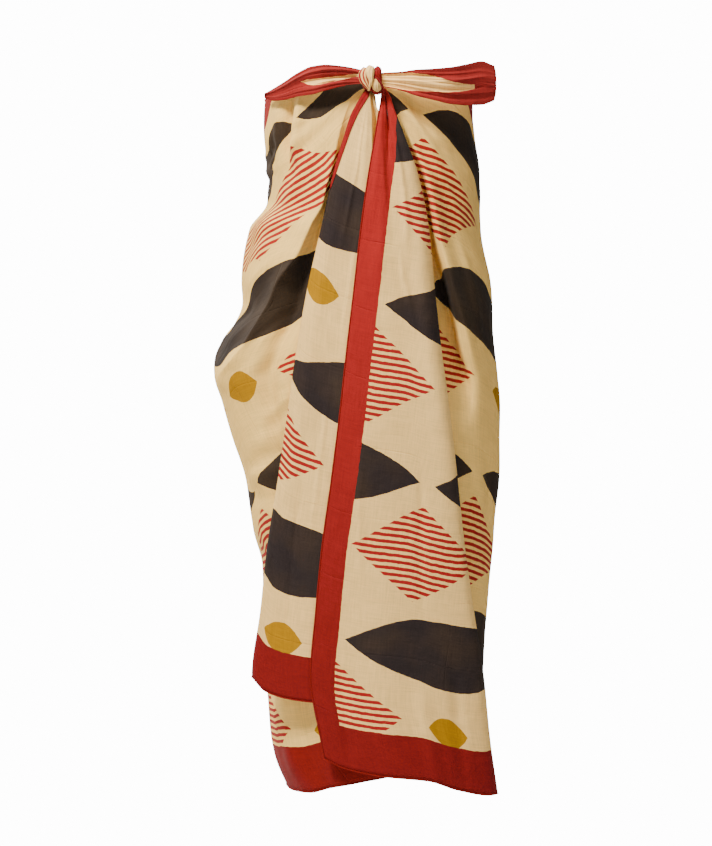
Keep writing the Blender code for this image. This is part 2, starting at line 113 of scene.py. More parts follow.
def grid_quads(rows, columns, flip=False):
    """The corner numbers of every four-sided face of a grid of points, row by row."""
    ids = np.arange(rows * columns).reshape(rows, columns)
    quads = np.stack([ids[:-1, :-1], ids[1:, :-1], ids[1:, 1:], ids[:-1, 1:]], axis=-1).reshape(-1, 4)
    return quads[:, ::-1] if flip else quads


def surface(name, grid, quads, layer=None, places=None):
    """A smooth mesh object at the origin through a grid of points, with a UV layer where one is named."""
    mesh = bpy.data.meshes.new(name)
    mesh.from_pydata(grid.reshape(-1, 3).tolist(), [], quads.tolist())
    mesh.shade_smooth()
    if layer:
        mesh.uv_layers.new(name=layer).data.foreach_set("uv", places.reshape(-1, 2)[quads.ravel()].ravel())
    made = bpy.data.objects.new(name, mesh)
    bpy.context.collection.objects.link(made)
    return made


def new_material(name, constants):
    """A material with constants on the sockets of its shader, and with it its node tree and that shader."""
    made = bpy.data.materials.new(name)
    made.use_nodes = True
    shader = made.node_tree.nodes["Principled BSDF"]
    for socket, value in constants.items():
        shader.inputs[socket].default_value = value
    return made, made.node_tree, shader


floor_radius = np.linspace(0.0005, FLOOR_RADIUS, FLOOR_RINGS)[:, None]
floor_turn = np.radians(np.linspace(0, 360, FLOOR_SPOKES))[None, :]
floor_x = floor_radius * np.cos(floor_turn)
floor_y = floor_radius * np.sin(floor_turn)
floor_points = np.stack([floor_x, floor_y, np.full_like(floor_x, FLOOR_Z)], axis=-1)
floor = surface("floor", floor_points, grid_quads(FLOOR_RINGS, FLOOR_SPOKES))
pale_paper = new_material("pale paper", {"Base Color": (0.9, 0.9, 0.9, 1), "Roughness": 0.9})[0]
floor.data.materials.append(pale_paper)


# The body wrap: the long stretch of the sheet that goes once round the body, from beside the middle
# on the right, round the back, to the left front. It is plain-weave cotton voile, block printed, held
# up by its own tension. On the left a swag runs from the knot to the hip.

SHEET_LENGTH = 1.80
SHEET_WIDTH = 1.15
MIDDLE_BACK = 0.88
SHOWN_CLOTH = 0.0006
SQUARENESS = 2.2
MEAN_RADIUS = 0.175


def rows_of(columns, *rows):
    """A table: rows of numbers under the names of their columns."""
    row_of = namedtuple("row_of", columns)
    return [row_of(*row) for row in rows]


SECTIONS = rows_of(
    "drop left right front back panel",
    (-0.012, 0.164, 0.158, 0.121, 0.111, 0.18),
    (0.056, 0.168, 0.162, 0.126, 0.106, 0.182),
    (0.125, 0.161, 0.17, 0.13, 0.104, 0.185),
    (0.163, 0.162, 0.17, 0.131, 0.105, 0.19),
    (0.206, 0.19, 0.171, 0.132, 0.109, 0.206),
    (0.287, 0.202, 0.187, 0.134, 0.12, 0.218),
    (0.318, 0.2, 0.189, 0.135, 0.126, 0.222),
    (0.38, 0.227, 0.192, 0.137, 0.135, 0.246),
    (0.437, 0.244, 0.198, 0.138, 0.143, 0.262),
    (0.476, 0.233, 0.2, 0.139, 0.147, 0.256),
    (0.538, 0.214, 0.199, 0.139, 0.148, 0.242),
    (0.6, 0.195, 0.196, 0.138, 0.146, 0.238),
    (0.674, 0.183, 0.188, 0.137, 0.141, 0.236),
    (0.729, 0.167, 0.183, 0.136, 0.138, 0.236),
    (0.86, 0.16, 0.172, 0.135, 0.134, 0.236),
    (0.966, 0.154, 0.168, 0.134, 0.132, 0.238),
    (1.028, 0.146, 0.168, 0.134, 0.131, 0.24),
    (1.08, 0.127, 0.168, 0.133, 0.13, 0.242),
)

# The upper edge and the hem all round. "kept" is how far down the sheet the upper edge lies: in front
# its border is drawn into the knot.
EDGES = rows_of(
    "turn top hem kept",
    (0, -0.019, 1.058, 0.12),
    (12, -0.018, 1.057, 0.115),
    (22, -0.012, 1.056, 0.11),
    (45, -0.004, 1.056, 0.095),
    (70, -0.001, 1.056, 0.056),
    (80, -0.001, 1.056, 0.02),
    (90, 0.0, 1.056, 0.006),
    (120, 0.008, 1.05, 0.002),
    (180, 0.02, 1.04, 0.0),
    (240, 0.01, 1.06, 0.001),
    (262, 0.005, 1.072, 0.003),
    (270, 0.004, 1.074, 0.004),
    (278, 0.003, 1.076, 0.012),
    (285, 0.002, 1.078, 0.026),
    (292, 0.001, 1.079, 0.06),
    (300, 0.0, 1.08, 0.082),
    (314, -0.003, 1.081, 0.1),
    (333, -0.013, 1.073, 0.12),
    (346, -0.021, 1.068, 0.15),
    (358, -0.02, 1.062, 0.18),
    (370, -0.02, 1.054, 0.19),
)
FRONT_OPENING = rows_of(
    "share start end",
    (0.0, 5.5, 361.0),
    (0.05, 9.0, 363.0),
    (0.15, 13.0, 366.5),
    (1.0, 16.0, 369.0),
)
RAILS = rows_of(
    "drop valley roll swag pleat",
    (-0.02, 12.0, 15.0, 355.0, 356.5),
    (0.024, 12.5, 15.5, 348.6, 351.5),
    (0.069, 17.0, 20.5, 343.6, 346.8),
    (0.1, 21.5, 25.0, 340.0, 343.5),
    (0.15, 26.5, 31.0, 333.5, 338.0),
    (0.2, 28.8, 35.0, 329.5, 335.0),
    (0.245, 30.0, 37.8, 323.6, 331.5),
    (0.3, 34.0, 41.5, 313.5, 327.0),
    (0.34, 37.5, 46.8, 306.0, 325.0),
    (0.38, 40.0, 51.0, 302.5, 323.0),
    (0.412, 42.0, 54.0, 295.0, 321.0),
    (0.44, 44.5, 57.0, 283.0, 320.0),
    (0.5, 45.0, 59.0, 286.0, 319.0),
    (0.65, 45.0, 60.0, 295.0, 320.0),
    (1.1, 45.0, 62.0, 300.0, 322.0),
)
RIDGE_HEADINGS = "drop rise before after"
RIDGES = {
    "swag": rows_of(
        RIDGE_HEADINGS,
        (-0.02, 0.0005, 0.02, 0.004),
        (0.03, 0.003, 0.02, 0.004),
        (0.07, 0.008, 0.028, 0.005),
        (0.15, 0.016, 0.036, 0.006),
        (0.21, 0.021, 0.032, 0.008),
        (0.3, 0.026, 0.022, 0.034),
        (0.34, 0.026, 0.02, 0.048),
        (0.41, 0.021, 0.018, 0.06),
        (0.48, 0.0005, 0.018, 0.064),
    ),
    "roll": rows_of(
        RIDGE_HEADINGS,
        (0.03, 0.0005, 0.005, 0.016),
        (0.085, 0.006, 0.005, 0.018),
        (0.15, 0.011, 0.007, 0.019),
        (0.215, 0.014, 0.009, 0.02),
        (0.28, 0.016, 0.012, 0.021),
        (0.32, 0.016, 0.014, 0.023),
        (0.375, 0.013, 0.018, 0.028),
        (0.42, 0.008, 0.022, 0.034),
        (0.52, 0.0005, 0.03, 0.04),
    ),
    "pleat": rows_of(
        RIDGE_HEADINGS,
        (0.02, -0.0005, 0.006, 0.006),
        (0.1, -0.006, 0.008, 0.009),
        (0.2, -0.012, 0.011, 0.014),
        (0.3, -0.017, 0.018, 0.018),
        (0.46, -0.016, 0.022, 0.022),
        (0.62, -0.012, 0.024, 0.024),
        (0.9, -0.007, 0.024, 0.024),
        (1.09, -0.0005, 0.025, 0.025),
    ),
    "valley": rows_of(
        RIDGE_HEADINGS,
        (0.04, -0.0005, 0.006, 0.005),
        (0.1, -0.006, 0.008, 0.005),
        (0.15, -0.016, 0.012, 0.006),
        (0.21, -0.028, 0.016, 0.007),
        (0.27, -0.035, 0.024, 0.01),
        (0.32, -0.038, 0.036, 0.01),
        (0.36, -0.04, 0.05, 0.011),
        (0.41, -0.034, 0.06, 0.014),
        (0.45, -0.017, 0.06, 0.02),
        (0.52, -0.0005, 0.03, 0.03),
    ),
}

# Straight folds and creases by their two ends. The broad ones are those of the solids. The narrow
# ones are drag lines from the knot, wrinkles at the pinched left side, and like ones at the back.
BROAD_FOLDS = rows_of(
    "turn_top drop_top turn_low drop_low rise width",
    (17, 0.01, 50, 0.08, 0.0025, 0.012),
    (19, 0.03, 70, 0.2, 0.0025, 0.018),
    (78, 0.28, 82, 1.1, 0.006, 0.03),
    (106, 0.3, 102, 1.1, 0.008, 0.03),
    (131, 0.55, 128, 1.1, 0.01, 0.034),
    (155, 0.15, 158, 1.1, 0.007, 0.04),
    (182, 0.5, 180, 1.1, 0.011, 0.035),
    (208, 0.05, 212, 1.1, 0.006, 0.035),
    (236, 0.48, 240, 1.1, 0.01, 0.038),
    (262, 0.6, 262, 1.1, 0.006, 0.026),
    (215, 0.1, 262, 0.42, 0.007, 0.03),
    (190, 0.2, 252, 0.54, 0.006, 0.03),
    (150, 0.06, 108, 0.44, 0.006, 0.03),
    (292, 0.5, 318, 0.74, 0.005, 0.028),
    (300, 0.76, 306, 1.1, 0.006, 0.026),
    (336, 0.9, 341, 1.1, 0.005, 0.016),
)
CREASES = rows_of(
    "turn_a drop_a turn_b drop_b rise width",
    (352, 0.0, 312, 0.055, 0.0045, 0.008),
    (350, 0.01, 296, 0.12, 0.0055, 0.01),
    (347, 0.035, 305, 0.17, 0.0045, 0.011),
    (338, 0.02, 322, 0.034, -0.002, 0.005),
    (313, 0.0, 308, 0.12, -0.0105, 0.01),
    (321, 0.0, 318, 0.12, 0.0095, 0.012),
    (302, 0.015, 299, 0.11, 0.004, 0.012),
    (286, 0.09, 290, 0.112, -0.011, 0.0045),
    (291, 0.096, 294, 0.118, 0.0045, 0.005),
    (300, 0.07, 270, 0.112, -0.0051, 0.009),
    (292, 0.125, 266, 0.108, 0.0044, 0.008),
    (286, 0.15, 262, 0.118, -0.0041, 0.009),
    (318, 0.2, 282, 0.24, -0.0027, 0.01),
    (322, 0.235, 288, 0.3, 0.0024, 0.009),
    (296, 0.33, 276, 0.36, -0.0034, 0.008),
    (300, 0.352, 280, 0.395, 0.0027, 0.008),
    (324, 0.33, 303, 0.398, -0.0031, 0.01),
    (330, 0.372, 306, 0.44, 0.0034, 0.011),
    (331, 0.462, 309, 0.512, 0.0037, 0.006),
    (332, 0.48, 312, 0.528, -0.0037, 0.006),
    (330, 0.5, 296, 0.558, 0.0027, 0.008),
    (328, 0.545, 288, 0.58, -0.0041, 0.01),
    (326, 0.575, 284, 0.598, 0.0041, 0.01),
    (322, 0.622, 282, 0.628, -0.0034, 0.012),
    (10, -0.012, 46, 0.02, 0.004, 0.006),
    (12, -0.005, 34, 0.062, -0.0062, 0.007),
    (12, 0.005, 40, 0.105, 0.0058, 0.008),
    (14, 0.02, 34, 0.12, -0.0052, 0.007),
    (18, 0.03, 48, 0.09, 0.0034, 0.006),
    (11, -0.008, 40, 0.04, 0.0034, 0.005),
    (17, 0.03, 58, 0.215, 0.0024, 0.008),
    (48, 0.21, 66, 0.42, 0.0027, 0.011),
    (40, 0.3, 52, 0.47, -0.0024, 0.008),
    (70, 0.08, 92, 0.18, 0.002, 0.01),
    (60, 0.52, 76, 0.7, -0.0024, 0.012),
    (88, 0.03, 128, 0.075, -0.0053, 0.01),
    (96, 0.11, 150, 0.16, 0.0053, 0.011),
    (110, 0.19, 168, 0.225, -0.0046, 0.01),
    (132, 0.06, 196, 0.085, 0.0041, 0.009),
    (188, 0.15, 244, 0.12, -0.0053, 0.01),
    (204, 0.215, 262, 0.17, 0.0058, 0.011),
    (226, 0.07, 268, 0.098, 0.0053, 0.009),
    (170, 0.285, 216, 0.33, -0.0046, 0.012),
    (140, 0.4, 118, 0.52, 0.0046, 0.012),
    (240, 0.33, 274, 0.43, 0.0063, 0.012),
    (230, 0.38, 268, 0.462, -0.0058, 0.011),
    (222, 0.45, 262, 0.52, 0.0053, 0.012),
    (204, 0.56, 236, 0.64, -0.0041, 0.012),
    (150, 0.6, 142, 0.78, 0.0041, 0.012),
)
SWAG_LEAN = 0.011
SWAG_RISE = 0.020
SWAG_LEANS_TO = 0.30
SWAG_LEAN_ENDS_OVER = 0.06
SLACK_WAVES = 0.0006
FINE_SLACK_WAVES = 0.0004

# How sharply each of the long folds comes to its crest or foot: 3 is flat, 2 is round, and 1 is a crease.
CREST = {"swag": 1.15, "roll": 2.0, "pleat": 1.7, "valley": 2.6}
RIDGE_STARTS_OVER = 0.02
RIDGE_ENDS_OVER = 0.04

# Shares of its length over which a broad fold fades at its two ends.
FOLD_COMES_IN_OVER = 0.4
FOLD_GOES_OUT_OVER = 0.3
FOLD_GOES_OUT_AT = 1.08

# The wrap's columns run along its long folds and these two turns, with this many columns between them.
# Its rows lie a little closer together at the top.
SIDE_TURNS = (90.0, 262.0)
WRAP_TOP = -0.02
WRAP_LENGTH = 1.09
BODY_CROWDING = 1.08
BODY_ROWS = 172
BODY_COLUMNS = (16, 14, 44, 64, 76, 16, 34)


def column(table, name):
    """One column of a table, as an array."""
    return np.array([getattr(row, name) for row in table], float)


def through(stations, values, at):
    """A smooth curve through the rows of a table, which never swings past them.

    It is a cubic from row to row. Its slope at a row is the harmonic mean of the straight slopes on the
    two sides, or 0 where they point opposite ways.
    """
    step = np.diff(stations)
    slope = np.diff(values) / step
    product = slope[:-1] * slope[1:]
    total = np.where(product > 0, slope[:-1] + slope[1:], 1.0)
    tangent = np.concatenate([slope[:1], np.where(product > 0, 2 * product / total, 0), slope[-1:]])
    at = np.clip(at, stations[0], stations[-1])
    i = np.clip(np.searchsorted(stations, at) - 1, 0, len(step) - 1)
    t = (at - stations[i]) / step[i]
    start = (1 + 2 * t) * (1 - t) ** 2 * values[i] + t * (1 - t) ** 2 * step[i] * tangent[i]
    return start + t * t * (3 - 2 * t) * values[i + 1] + t * t * (t - 1) * step[i] * tangent[i + 1]


def follow(table, name, at, along="drop"):
    """The smooth curve through one column of a table, at places along another of its columns."""
    return through(column(table, along), column(table, name), np.asarray(at, float))


def ease(t):
    """0 below 0, 1 above 1, and between them three squares less two cubes."""
    t = np.clip(t, 0, 1)
    return t * t * (3 - 2 * t)


def bump(distance, before, after, power=2.0):
    """1 on a fold's line, falling away over its two flanks.

    It is e to the minus power of the distance over that flank's width. A low power makes a sharper crest.
    """
    return np.exp(-(np.abs(distance / np.where(distance < 0, before, after)) ** power))


def ring(turn, drop, rise):
    """x and y of the body wrap: a rounded square through four reaches, stood out by rise.

    Each is its reach times the sine or cosine of the turn, raised to 2 over the squareness. The rise is
    added along the way that an oval of the same reaches faces there.
    """
    side = np.sin(np.radians(turn))
    ahead = np.cos(np.radians(turn))
    wide = np.where(side < 0, follow(SECTIONS, "left", drop), follow(SECTIONS, "right", drop))
    deep = np.where(ahead > 0, follow(SECTIONS, "front", drop), follow(SECTIONS, "back", drop))
    x = wide * np.sign(side) * np.abs(side) ** (2 / SQUARENESS)
    y = -deep * np.sign(ahead) * np.abs(ahead) ** (2 / SQUARENESS)
    out_x = side * deep
    out_y = -ahead * wide
    length = np.hypot(out_x, out_y)
    return x + rise * out_x / length, y + rise * out_y / length


def crease_field(across_m, drop, creases, scale):
    """The sum of soft ridges and troughs, each along the straight line between its two ends.

    Each is its rise, times e to the minus square of the distance from the line over its width, times two
    eased shares of the way along it, which let it fade at both ends.
    """
    total = np.zeros_like(drop)
    for a, ad, b, bd, rise, width in creases:
        ax = a * scale
        bx = b * scale
        span = (bx - ax) ** 2 + (bd - ad) ** 2
        along = ((across_m - ax) * (bx - ax) + (drop - ad) * (bd - ad)) / span
        near = np.clip(along, 0, 1)
        away = np.hypot(across_m - ax - near * (bx - ax), drop - ad - near * (bd - ad))
        # A crease comes in over its first quarter and goes out over its last third.
        fades = ease(along / 0.35 + 0.3) * ease((1 - along) / 0.45 + 0.2)
        total = total + rise * fades * np.exp(-((away / width) ** 2))
    return total


def ridge_height(turn, drop, names):
    """How far some of the long folds raise the body wrap, or sink it.

    Each is its rise at the drop, times a bump over the distance round the body from its rail, eased in
    and out at its two ends.
    """
    radius = follow(SECTIONS, "left", drop)
    total = np.zeros_like(drop)
    for rail in names:
        ridge = RIDGES[rail]
        drops = column(ridge, "drop")
        inside = ease((drop - drops[0]) / RIDGE_STARTS_OVER) * ease((drops[-1] - drop) / RIDGE_ENDS_OVER)
        away = np.radians(turn - follow(RAILS, rail, drop)) * radius
        before = follow(ridge, "before", drop)
        after = follow(ridge, "after", drop)
        total = total + inside * follow(ridge, "rise", drop) * bump(away, before, after, CREST[rail])
    return total


def body_relief(turn, drop):
    """How far the pleat, the broad folds and the creases raise the body wrap outwards, or sink it.

    A broad fold is its rise, times a bump over the distance from its straight line, eased at both ends.
    """
    radius = follow(SECTIONS, "left", drop)
    total = ridge_height(turn, drop, ("pleat",))
    for fold in BROAD_FOLDS:
        share = (drop - fold.drop_top) / (fold.drop_low - fold.drop_top)
        line = fold.turn_top + (fold.turn_low - fold.turn_top) * np.clip(share, 0, 1)
        fades = ease(share / FOLD_COMES_IN_OVER) * ease((FOLD_GOES_OUT_AT - share) / FOLD_GOES_OUT_OVER)
        total = total + fold.rise * fades * bump(np.radians(turn - line) * radius, fold.width, fold.width)
    metres_a_degree = np.radians(1) * MEAN_RADIUS
    total = total + crease_field(turn * metres_a_degree, drop, CREASES, metres_a_degree)
    # Slow waves of half a millimetre, as in cloth that hangs slack.
    slack = SLACK_WAVES * np.sin(31 * drop + 0.09 * turn) * np.sin(0.11 * turn - 17 * drop + 1.3)
    return total + (slack + FINE_SLACK_WAVES * np.sin(63 * drop - 0.21 * turn + 0.6))


def run_along(points):
    """How far each point of a grid lies from the first one in its row, along the row."""
    steps = np.linalg.norm(np.diff(points, axis=1), axis=-1)
    return np.concatenate([np.zeros((len(points), 1)), np.cumsum(steps, axis=1)], axis=1)


def body_grid(rows, steps):
    """The wrap's points and their places on the sheet.

    A row lies at a share of the way from the upper edge to the hem. Along it, the turn runs evenly from
    one rail to the next. The ring at that turn and drop gives the point. The place on the sheet is the
    length along the row from the middle of the back, and the same share of the way down.
    """
    share = np.linspace(0, 1, rows) ** BODY_CROWDING
    drop = WRAP_TOP + WRAP_LENGTH * share
    rails = [follow(FRONT_OPENING, "start", share, "share")]
    rails += [follow(RAILS, name, drop) for name in ("valley", "roll")]
    rails += [np.full(rows, turn) for turn in SIDE_TURNS]
    rails += [follow(RAILS, name, drop) for name in ("swag", "pleat")]
    rails += [follow(FRONT_OPENING, "end", share, "share")]
    parts = []
    for here, beyond, count in zip(rails, rails[1:], steps):
        parts.append(here[:, None] + (beyond - here)[:, None] * np.arange(count) / count)
    turn = np.concatenate(parts + [rails[-1][:, None]], axis=1)
    share = share[:, None]
    top = follow(EDGES, "top", turn, "turn")
    hem = follow(EDGES, "hem", turn, "turn")
    drop = top + (hem - top) * share
    x, y = ring(turn, drop, body_relief(turn, drop))
    # The swag, the roll and the valley between the roll and the panel stand straight forward or back.
    y = y - ridge_height(turn, drop, ("swag", "roll", "valley"))
    # The swag's edge leans over the pleat, so that it hangs past its own foot.
    lean = SWAG_LEAN * (ridge_height(turn, drop, ("swag",)) / SWAG_RISE) ** 1.5
    lean = lean * ease((SWAG_LEANS_TO - drop) / SWAG_LEAN_ENDS_OVER)
    x = x + lean * np.cos(np.radians(turn))
    y = y + lean * np.sin(np.radians(turn))
    points = np.stack([x, y, -drop], axis=-1)
    run = run_along(points[..., :2])
    middle = np.argmin(np.abs(turn - 180), axis=1)
    u = MIDDLE_BACK + run - np.take_along_axis(run, middle[:, None], axis=1)
    kept = follow(EDGES, "kept", turn, "turn")
    v = kept + (SHEET_WIDTH - kept) * share
    return points, np.stack([u, v], axis=-1)


def wire(tree, kind, inputs=None, **settings):
    """A shader node with its settings made, and its inputs linked or set."""
    node = tree.nodes.new(kind)
    for name, value in settings.items():
        setattr(node, name, value)
    for name, value in (inputs or {}).items():
        if isinstance(value, bpy.types.NodeSocket):
            tree.links.new(value, node.inputs[name])
        else:
            node.inputs[name].default_value = value
    return node


def sums(tree, operation, *values):
    """One Math node, with its result."""
    return wire(tree, "ShaderNodeMath", dict(enumerate(values)), operation=operation).outputs[0]


def vectors(tree, operation, first, second):
    """One Vector Math node, with its result. SCALE takes a number as its second value."""
    inputs = {0: first, "Scale" if operation == "SCALE" else 1: second}
    return wire(tree, "ShaderNodeVectorMath", inputs, operation=operation).outputs[0]


def blend(tree, factor, first, second):
    """One colour Mix node, with its result."""
    return wire(tree, "ShaderNodeMix", {0: factor, 6: first, 7: second}, data_type="RGBA").outputs[2]


def noise(tree, place, scale, detail, **more):
    """One Noise Texture node, with its grey and its coloured result."""
    inputs = {"Vector": place, "Scale": scale, "Detail": detail}
    return wire(tree, "ShaderNodeTexNoise", inputs | more).outputs


def rising(tree, value, low, high, shape="LINEAR"):
    """One Map Range node, with its result: 0 up to low, and 1 from high on."""
    inputs = {"Value": value, "From Min": low, "From Max": high}
    return wire(tree, "ShaderNodeMapRange", inputs, interpolation_type=shape).outputs["Result"]


def two_ways(tree, place):
    """The first two numbers of a place."""
    return wire(tree, "ShaderNodeSeparateXYZ", {"Vector": place}).outputs[:2]


def new_group(name, *outputs):
    """An empty shader group, the place on the cloth that it is given, and the named values that it gives."""
    tree = bpy.data.node_groups.new(name, "ShaderNodeTree")
    tree.interface.new_socket("Cloth", in_out="INPUT", socket_type="NodeSocketVector")
    for socket in outputs:
        kind = "NodeSocketColor" if socket == "Color" else "NodeSocketFloat"
        tree.interface.new_socket(socket, in_out="OUTPUT", socket_type=kind)
    cloth = tree.nodes.new("NodeGroupInput").outputs["Cloth"]
    return tree, cloth, tree.nodes.new("NodeGroupOutput").inputs


# The dyes, with the borders' red painted darker towards the lower edge as shade, then the print's sizes
# on the sheet. A motif has the height of its middle in the repeat, and half its width and height.
CREAM = (0.83, 0.53, 0.175, 1)
RED = (0.31, 0.0145, 0.0120, 1)
DEEP_RED = (0.233, 0.0098, 0.0087, 1)
# Painted shade: the red that the borders darken to at the lower edge.
RED_PAINTED_SHADE_BELOW = (0.185, 0.0075, 0.0070, 1)
CHARCOAL = (0.023, 0.016, 0.0150, 1)
WARM_CHARCOAL = (0.038, 0.024, 0.0165, 1)
MUSTARD = (0.36, 0.168, 0.001, 1)
LONG_BORDER = 0.068
SHORT_BORDER = 0.040
REPEAT_ALONG = 0.36
REPEAT_DOWN = 0.265
ODD_ROW_SHIFT = 0.31
PRINT_START = -0.030
PRINT_TOP = LONG_BORDER + 0.012
LONG_LEAF = (0.066, 0.168, 0.054)
DIAMOND = (0.180, 0.105, 0.078)
SMALL_LEAF = (0.188, 0.034, 0.024)
PINSTRIPE = 0.0102
STRIPE_SHARE = 0.52
UNEVEN_EDGE = 0.0024
# The stretch down the sheet over which the borders' red darkens: painted shade towards the lower edge.
PAINTED_SHADE_FROM = 0.35
PAINTED_SHADE_TO = 1.15
PACKET_HEIGHT = 0.1065
PACKET_WIDTH = 0.215
PRESSED_WIDTH = 0.0016


def block_print():
    """Shader group: the printed colour at a place on the sheet.

    A plain red border runs round the sheet. It is deeper along the upper edge than down the two short
    ones, and on the way down to the lower edge it darkens smoothly: painted shade, for the lower cloth
    that is lit less. Inside it, rows of long charcoal leaves alternate with rows of red pinstriped
    diamonds and small mustard leaves, and each repeat starts further along. A slow noise warms the
    charcoal here and there.
    """
    tree, cloth, shown = new_group("block print", "Color", "Ink")
    uneven = vectors(tree, "ADD", noise(tree, cloth, 90.0, 2.0)["Color"], (-0.5, -0.5, 0))
    u, v = two_ways(tree, vectors(tree, "ADD", cloth, vectors(tree, "SCALE", uneven, UNEVEN_EDGE)))
    down = sums(tree, "SUBTRACT", v, PRINT_TOP)
    row = sums(tree, "FLOOR", sums(tree, "DIVIDE", down, REPEAT_DOWN))
    odd = sums(tree, "PINGPONG", row, 1.0)
    y = sums(tree, "WRAP", down, REPEAT_DOWN, 0.0)
    half = REPEAT_ALONG / 2
    along = sums(tree, "SUBTRACT", u, PRINT_START)
    along = sums(tree, "MULTIPLY_ADD", odd, REPEAT_ALONG * ODD_ROW_SHIFT, along)
    x_here = sums(tree, "WRAP", along, half, -half)
    x_half = sums(tree, "WRAP", sums(tree, "ADD", along, half), half, -half)

    def shares(x, middle, half_wide, half_high):
        """The distances from the middle of a motif, as shares of its two halves."""
        wide = sums(tree, "DIVIDE", sums(tree, "ABSOLUTE", x), half_wide)
        high = sums(tree, "DIVIDE", sums(tree, "ABSOLUTE", sums(tree, "SUBTRACT", y, middle)), half_high)
        return wide, high

    def diamond(x, motif):
        """1 where the two shares add up to under 1."""
        return sums(tree, "LESS_THAN", sums(tree, "ADD", *shares(x, *motif)), 1.0)

    def leaf(x, motif):
        """1 where the share up, added to the square of the share along, is under 1."""
        wide, high = shares(x, *motif)
        return sums(tree, "LESS_THAN", sums(tree, "MULTIPLY_ADD", wide, wide, high), 1.0)

    def border(at, length, width):
        """1 nearer than a width to either end of a length."""
        return sums(tree, "LESS_THAN", sums(tree, "MINIMUM", at, sums(tree, "SUBTRACT", length, at)), width)

    line = sums(tree, "FRACT", sums(tree, "DIVIDE", v, PINSTRIPE))
    stripes = sums(tree, "MULTIPLY", diamond(x_half, DIAMOND), sums(tree, "LESS_THAN", line, STRIPE_SHARE))
    # Painted shade: the borders darken on the way down to the lower edge.
    shade_below = rising(tree, v, PAINTED_SHADE_FROM, PAINTED_SHADE_TO, "SMOOTHSTEP")
    warmer = rising(tree, noise(tree, cloth, 11.0, 2.0)["Fac"], 0.40, 0.62)
    colour = CREAM
    ink = 0.0
    for mask, dye in (
        (leaf(x_here, LONG_LEAF), blend(tree, warmer, CHARCOAL, WARM_CHARCOAL)),
        (leaf(x_here, SMALL_LEAF), MUSTARD),
        (stripes, RED),
        (border(u, SHEET_LENGTH, SHORT_BORDER), blend(tree, shade_below, RED, RED_PAINTED_SHADE_BELOW)),
        (border(v, SHEET_WIDTH, LONG_BORDER), blend(tree, shade_below, DEEP_RED, RED_PAINTED_SHADE_BELOW)),
    ):
        colour = blend(tree, mask, colour, dye)
        ink = sums(tree, "MAXIMUM", ink, mask)
    tree.links.new(colour, shown["Color"])
    tree.links.new(ink, shown["Ink"])
    return tree


def voile_weave():
    """Shader group: thick and thin yarns both ways.

    Two noises, each drawn out along its own yarns, give the slubs. Tone multiplies the colour, and
    Height raises the thick yarns.
    """
    tree, cloth, shown = new_group("voile weave", "Tone", "Height")
    slubs = []
    for scale in ((28, 520, 1), (470, 24, 1)):
        drawn = wire(tree, "ShaderNodeMapping", {"Vector": cloth, "Scale": scale}).outputs[0]
        slubs.append(noise(tree, drawn, 1.0, 3.0, Roughness=0.6)["Fac"])
    both = sums(tree, "ADD", *slubs)
    tree.links.new(sums(tree, "MULTIPLY_ADD", both, 0.46, 0.54), shown["Tone"])
    tree.links.new(both, shown["Height"])
    return tree


def pressed_lines():
    """Shader group: faint sharp creases from folding in the packet.

    Each line lies at every whole multiple of the packet's height or width on the sheet, and a slow
    noise makes it come and go.
    """
    tree, cloth, shown = new_group("pressed lines", "Height")
    slow = noise(tree, cloth, 9.0, 1.0)["Fac"]
    wander = sums(tree, "MULTIPLY", sums(tree, "SUBTRACT", slow, 0.5), 0.012)
    u, v = two_ways(tree, cloth)
    heights = []
    for at, pitch in ((v, PACKET_HEIGHT), (u, PACKET_WIDTH)):
        near = sums(tree, "PINGPONG", sums(tree, "ADD", at, wander), pitch / 2)
        near = sums(tree, "MINIMUM", sums(tree, "DIVIDE", near, PRESSED_WIDTH), 1.0)
        heights.append(sums(tree, "SUBTRACT", 1.0, near))
    lines = sums(tree, "MAXIMUM", *heights)
    tree.links.new(sums(tree, "MULTIPLY", lines, rising(tree, slow, 0.42, 0.62)), shown["Height"])
    return tree


def soft_rumples():
    """Shader group: the slight unevenness of a washed cloth.

    Two noises, one a few centimetres across and one drawn out at a slant, are added up.
    """
    tree, cloth, shown = new_group("soft rumples", "Height")
    broad = noise(tree, cloth, 17.0, 2.0, Roughness=0.45, Distortion=0.6)["Fac"]
    slant = {"Vector": cloth, "Rotation": (0, 0, 0.9), "Scale": (14.0, 62.0, 1.0)}
    slanted = wire(tree, "ShaderNodeMapping", slant).outputs[0]
    drawn = noise(tree, slanted, 1.0, 2.0, Roughness=0.5, Distortion=0.4)["Fac"]
    tree.links.new(sums(tree, "MULTIPLY_ADD", drawn, 0.30, broad), shown["Height"])
    return tree


PRINT = block_print()
RUMPLES = soft_rumples()
WEAVE = voile_weave()
PRESSED = pressed_lines()


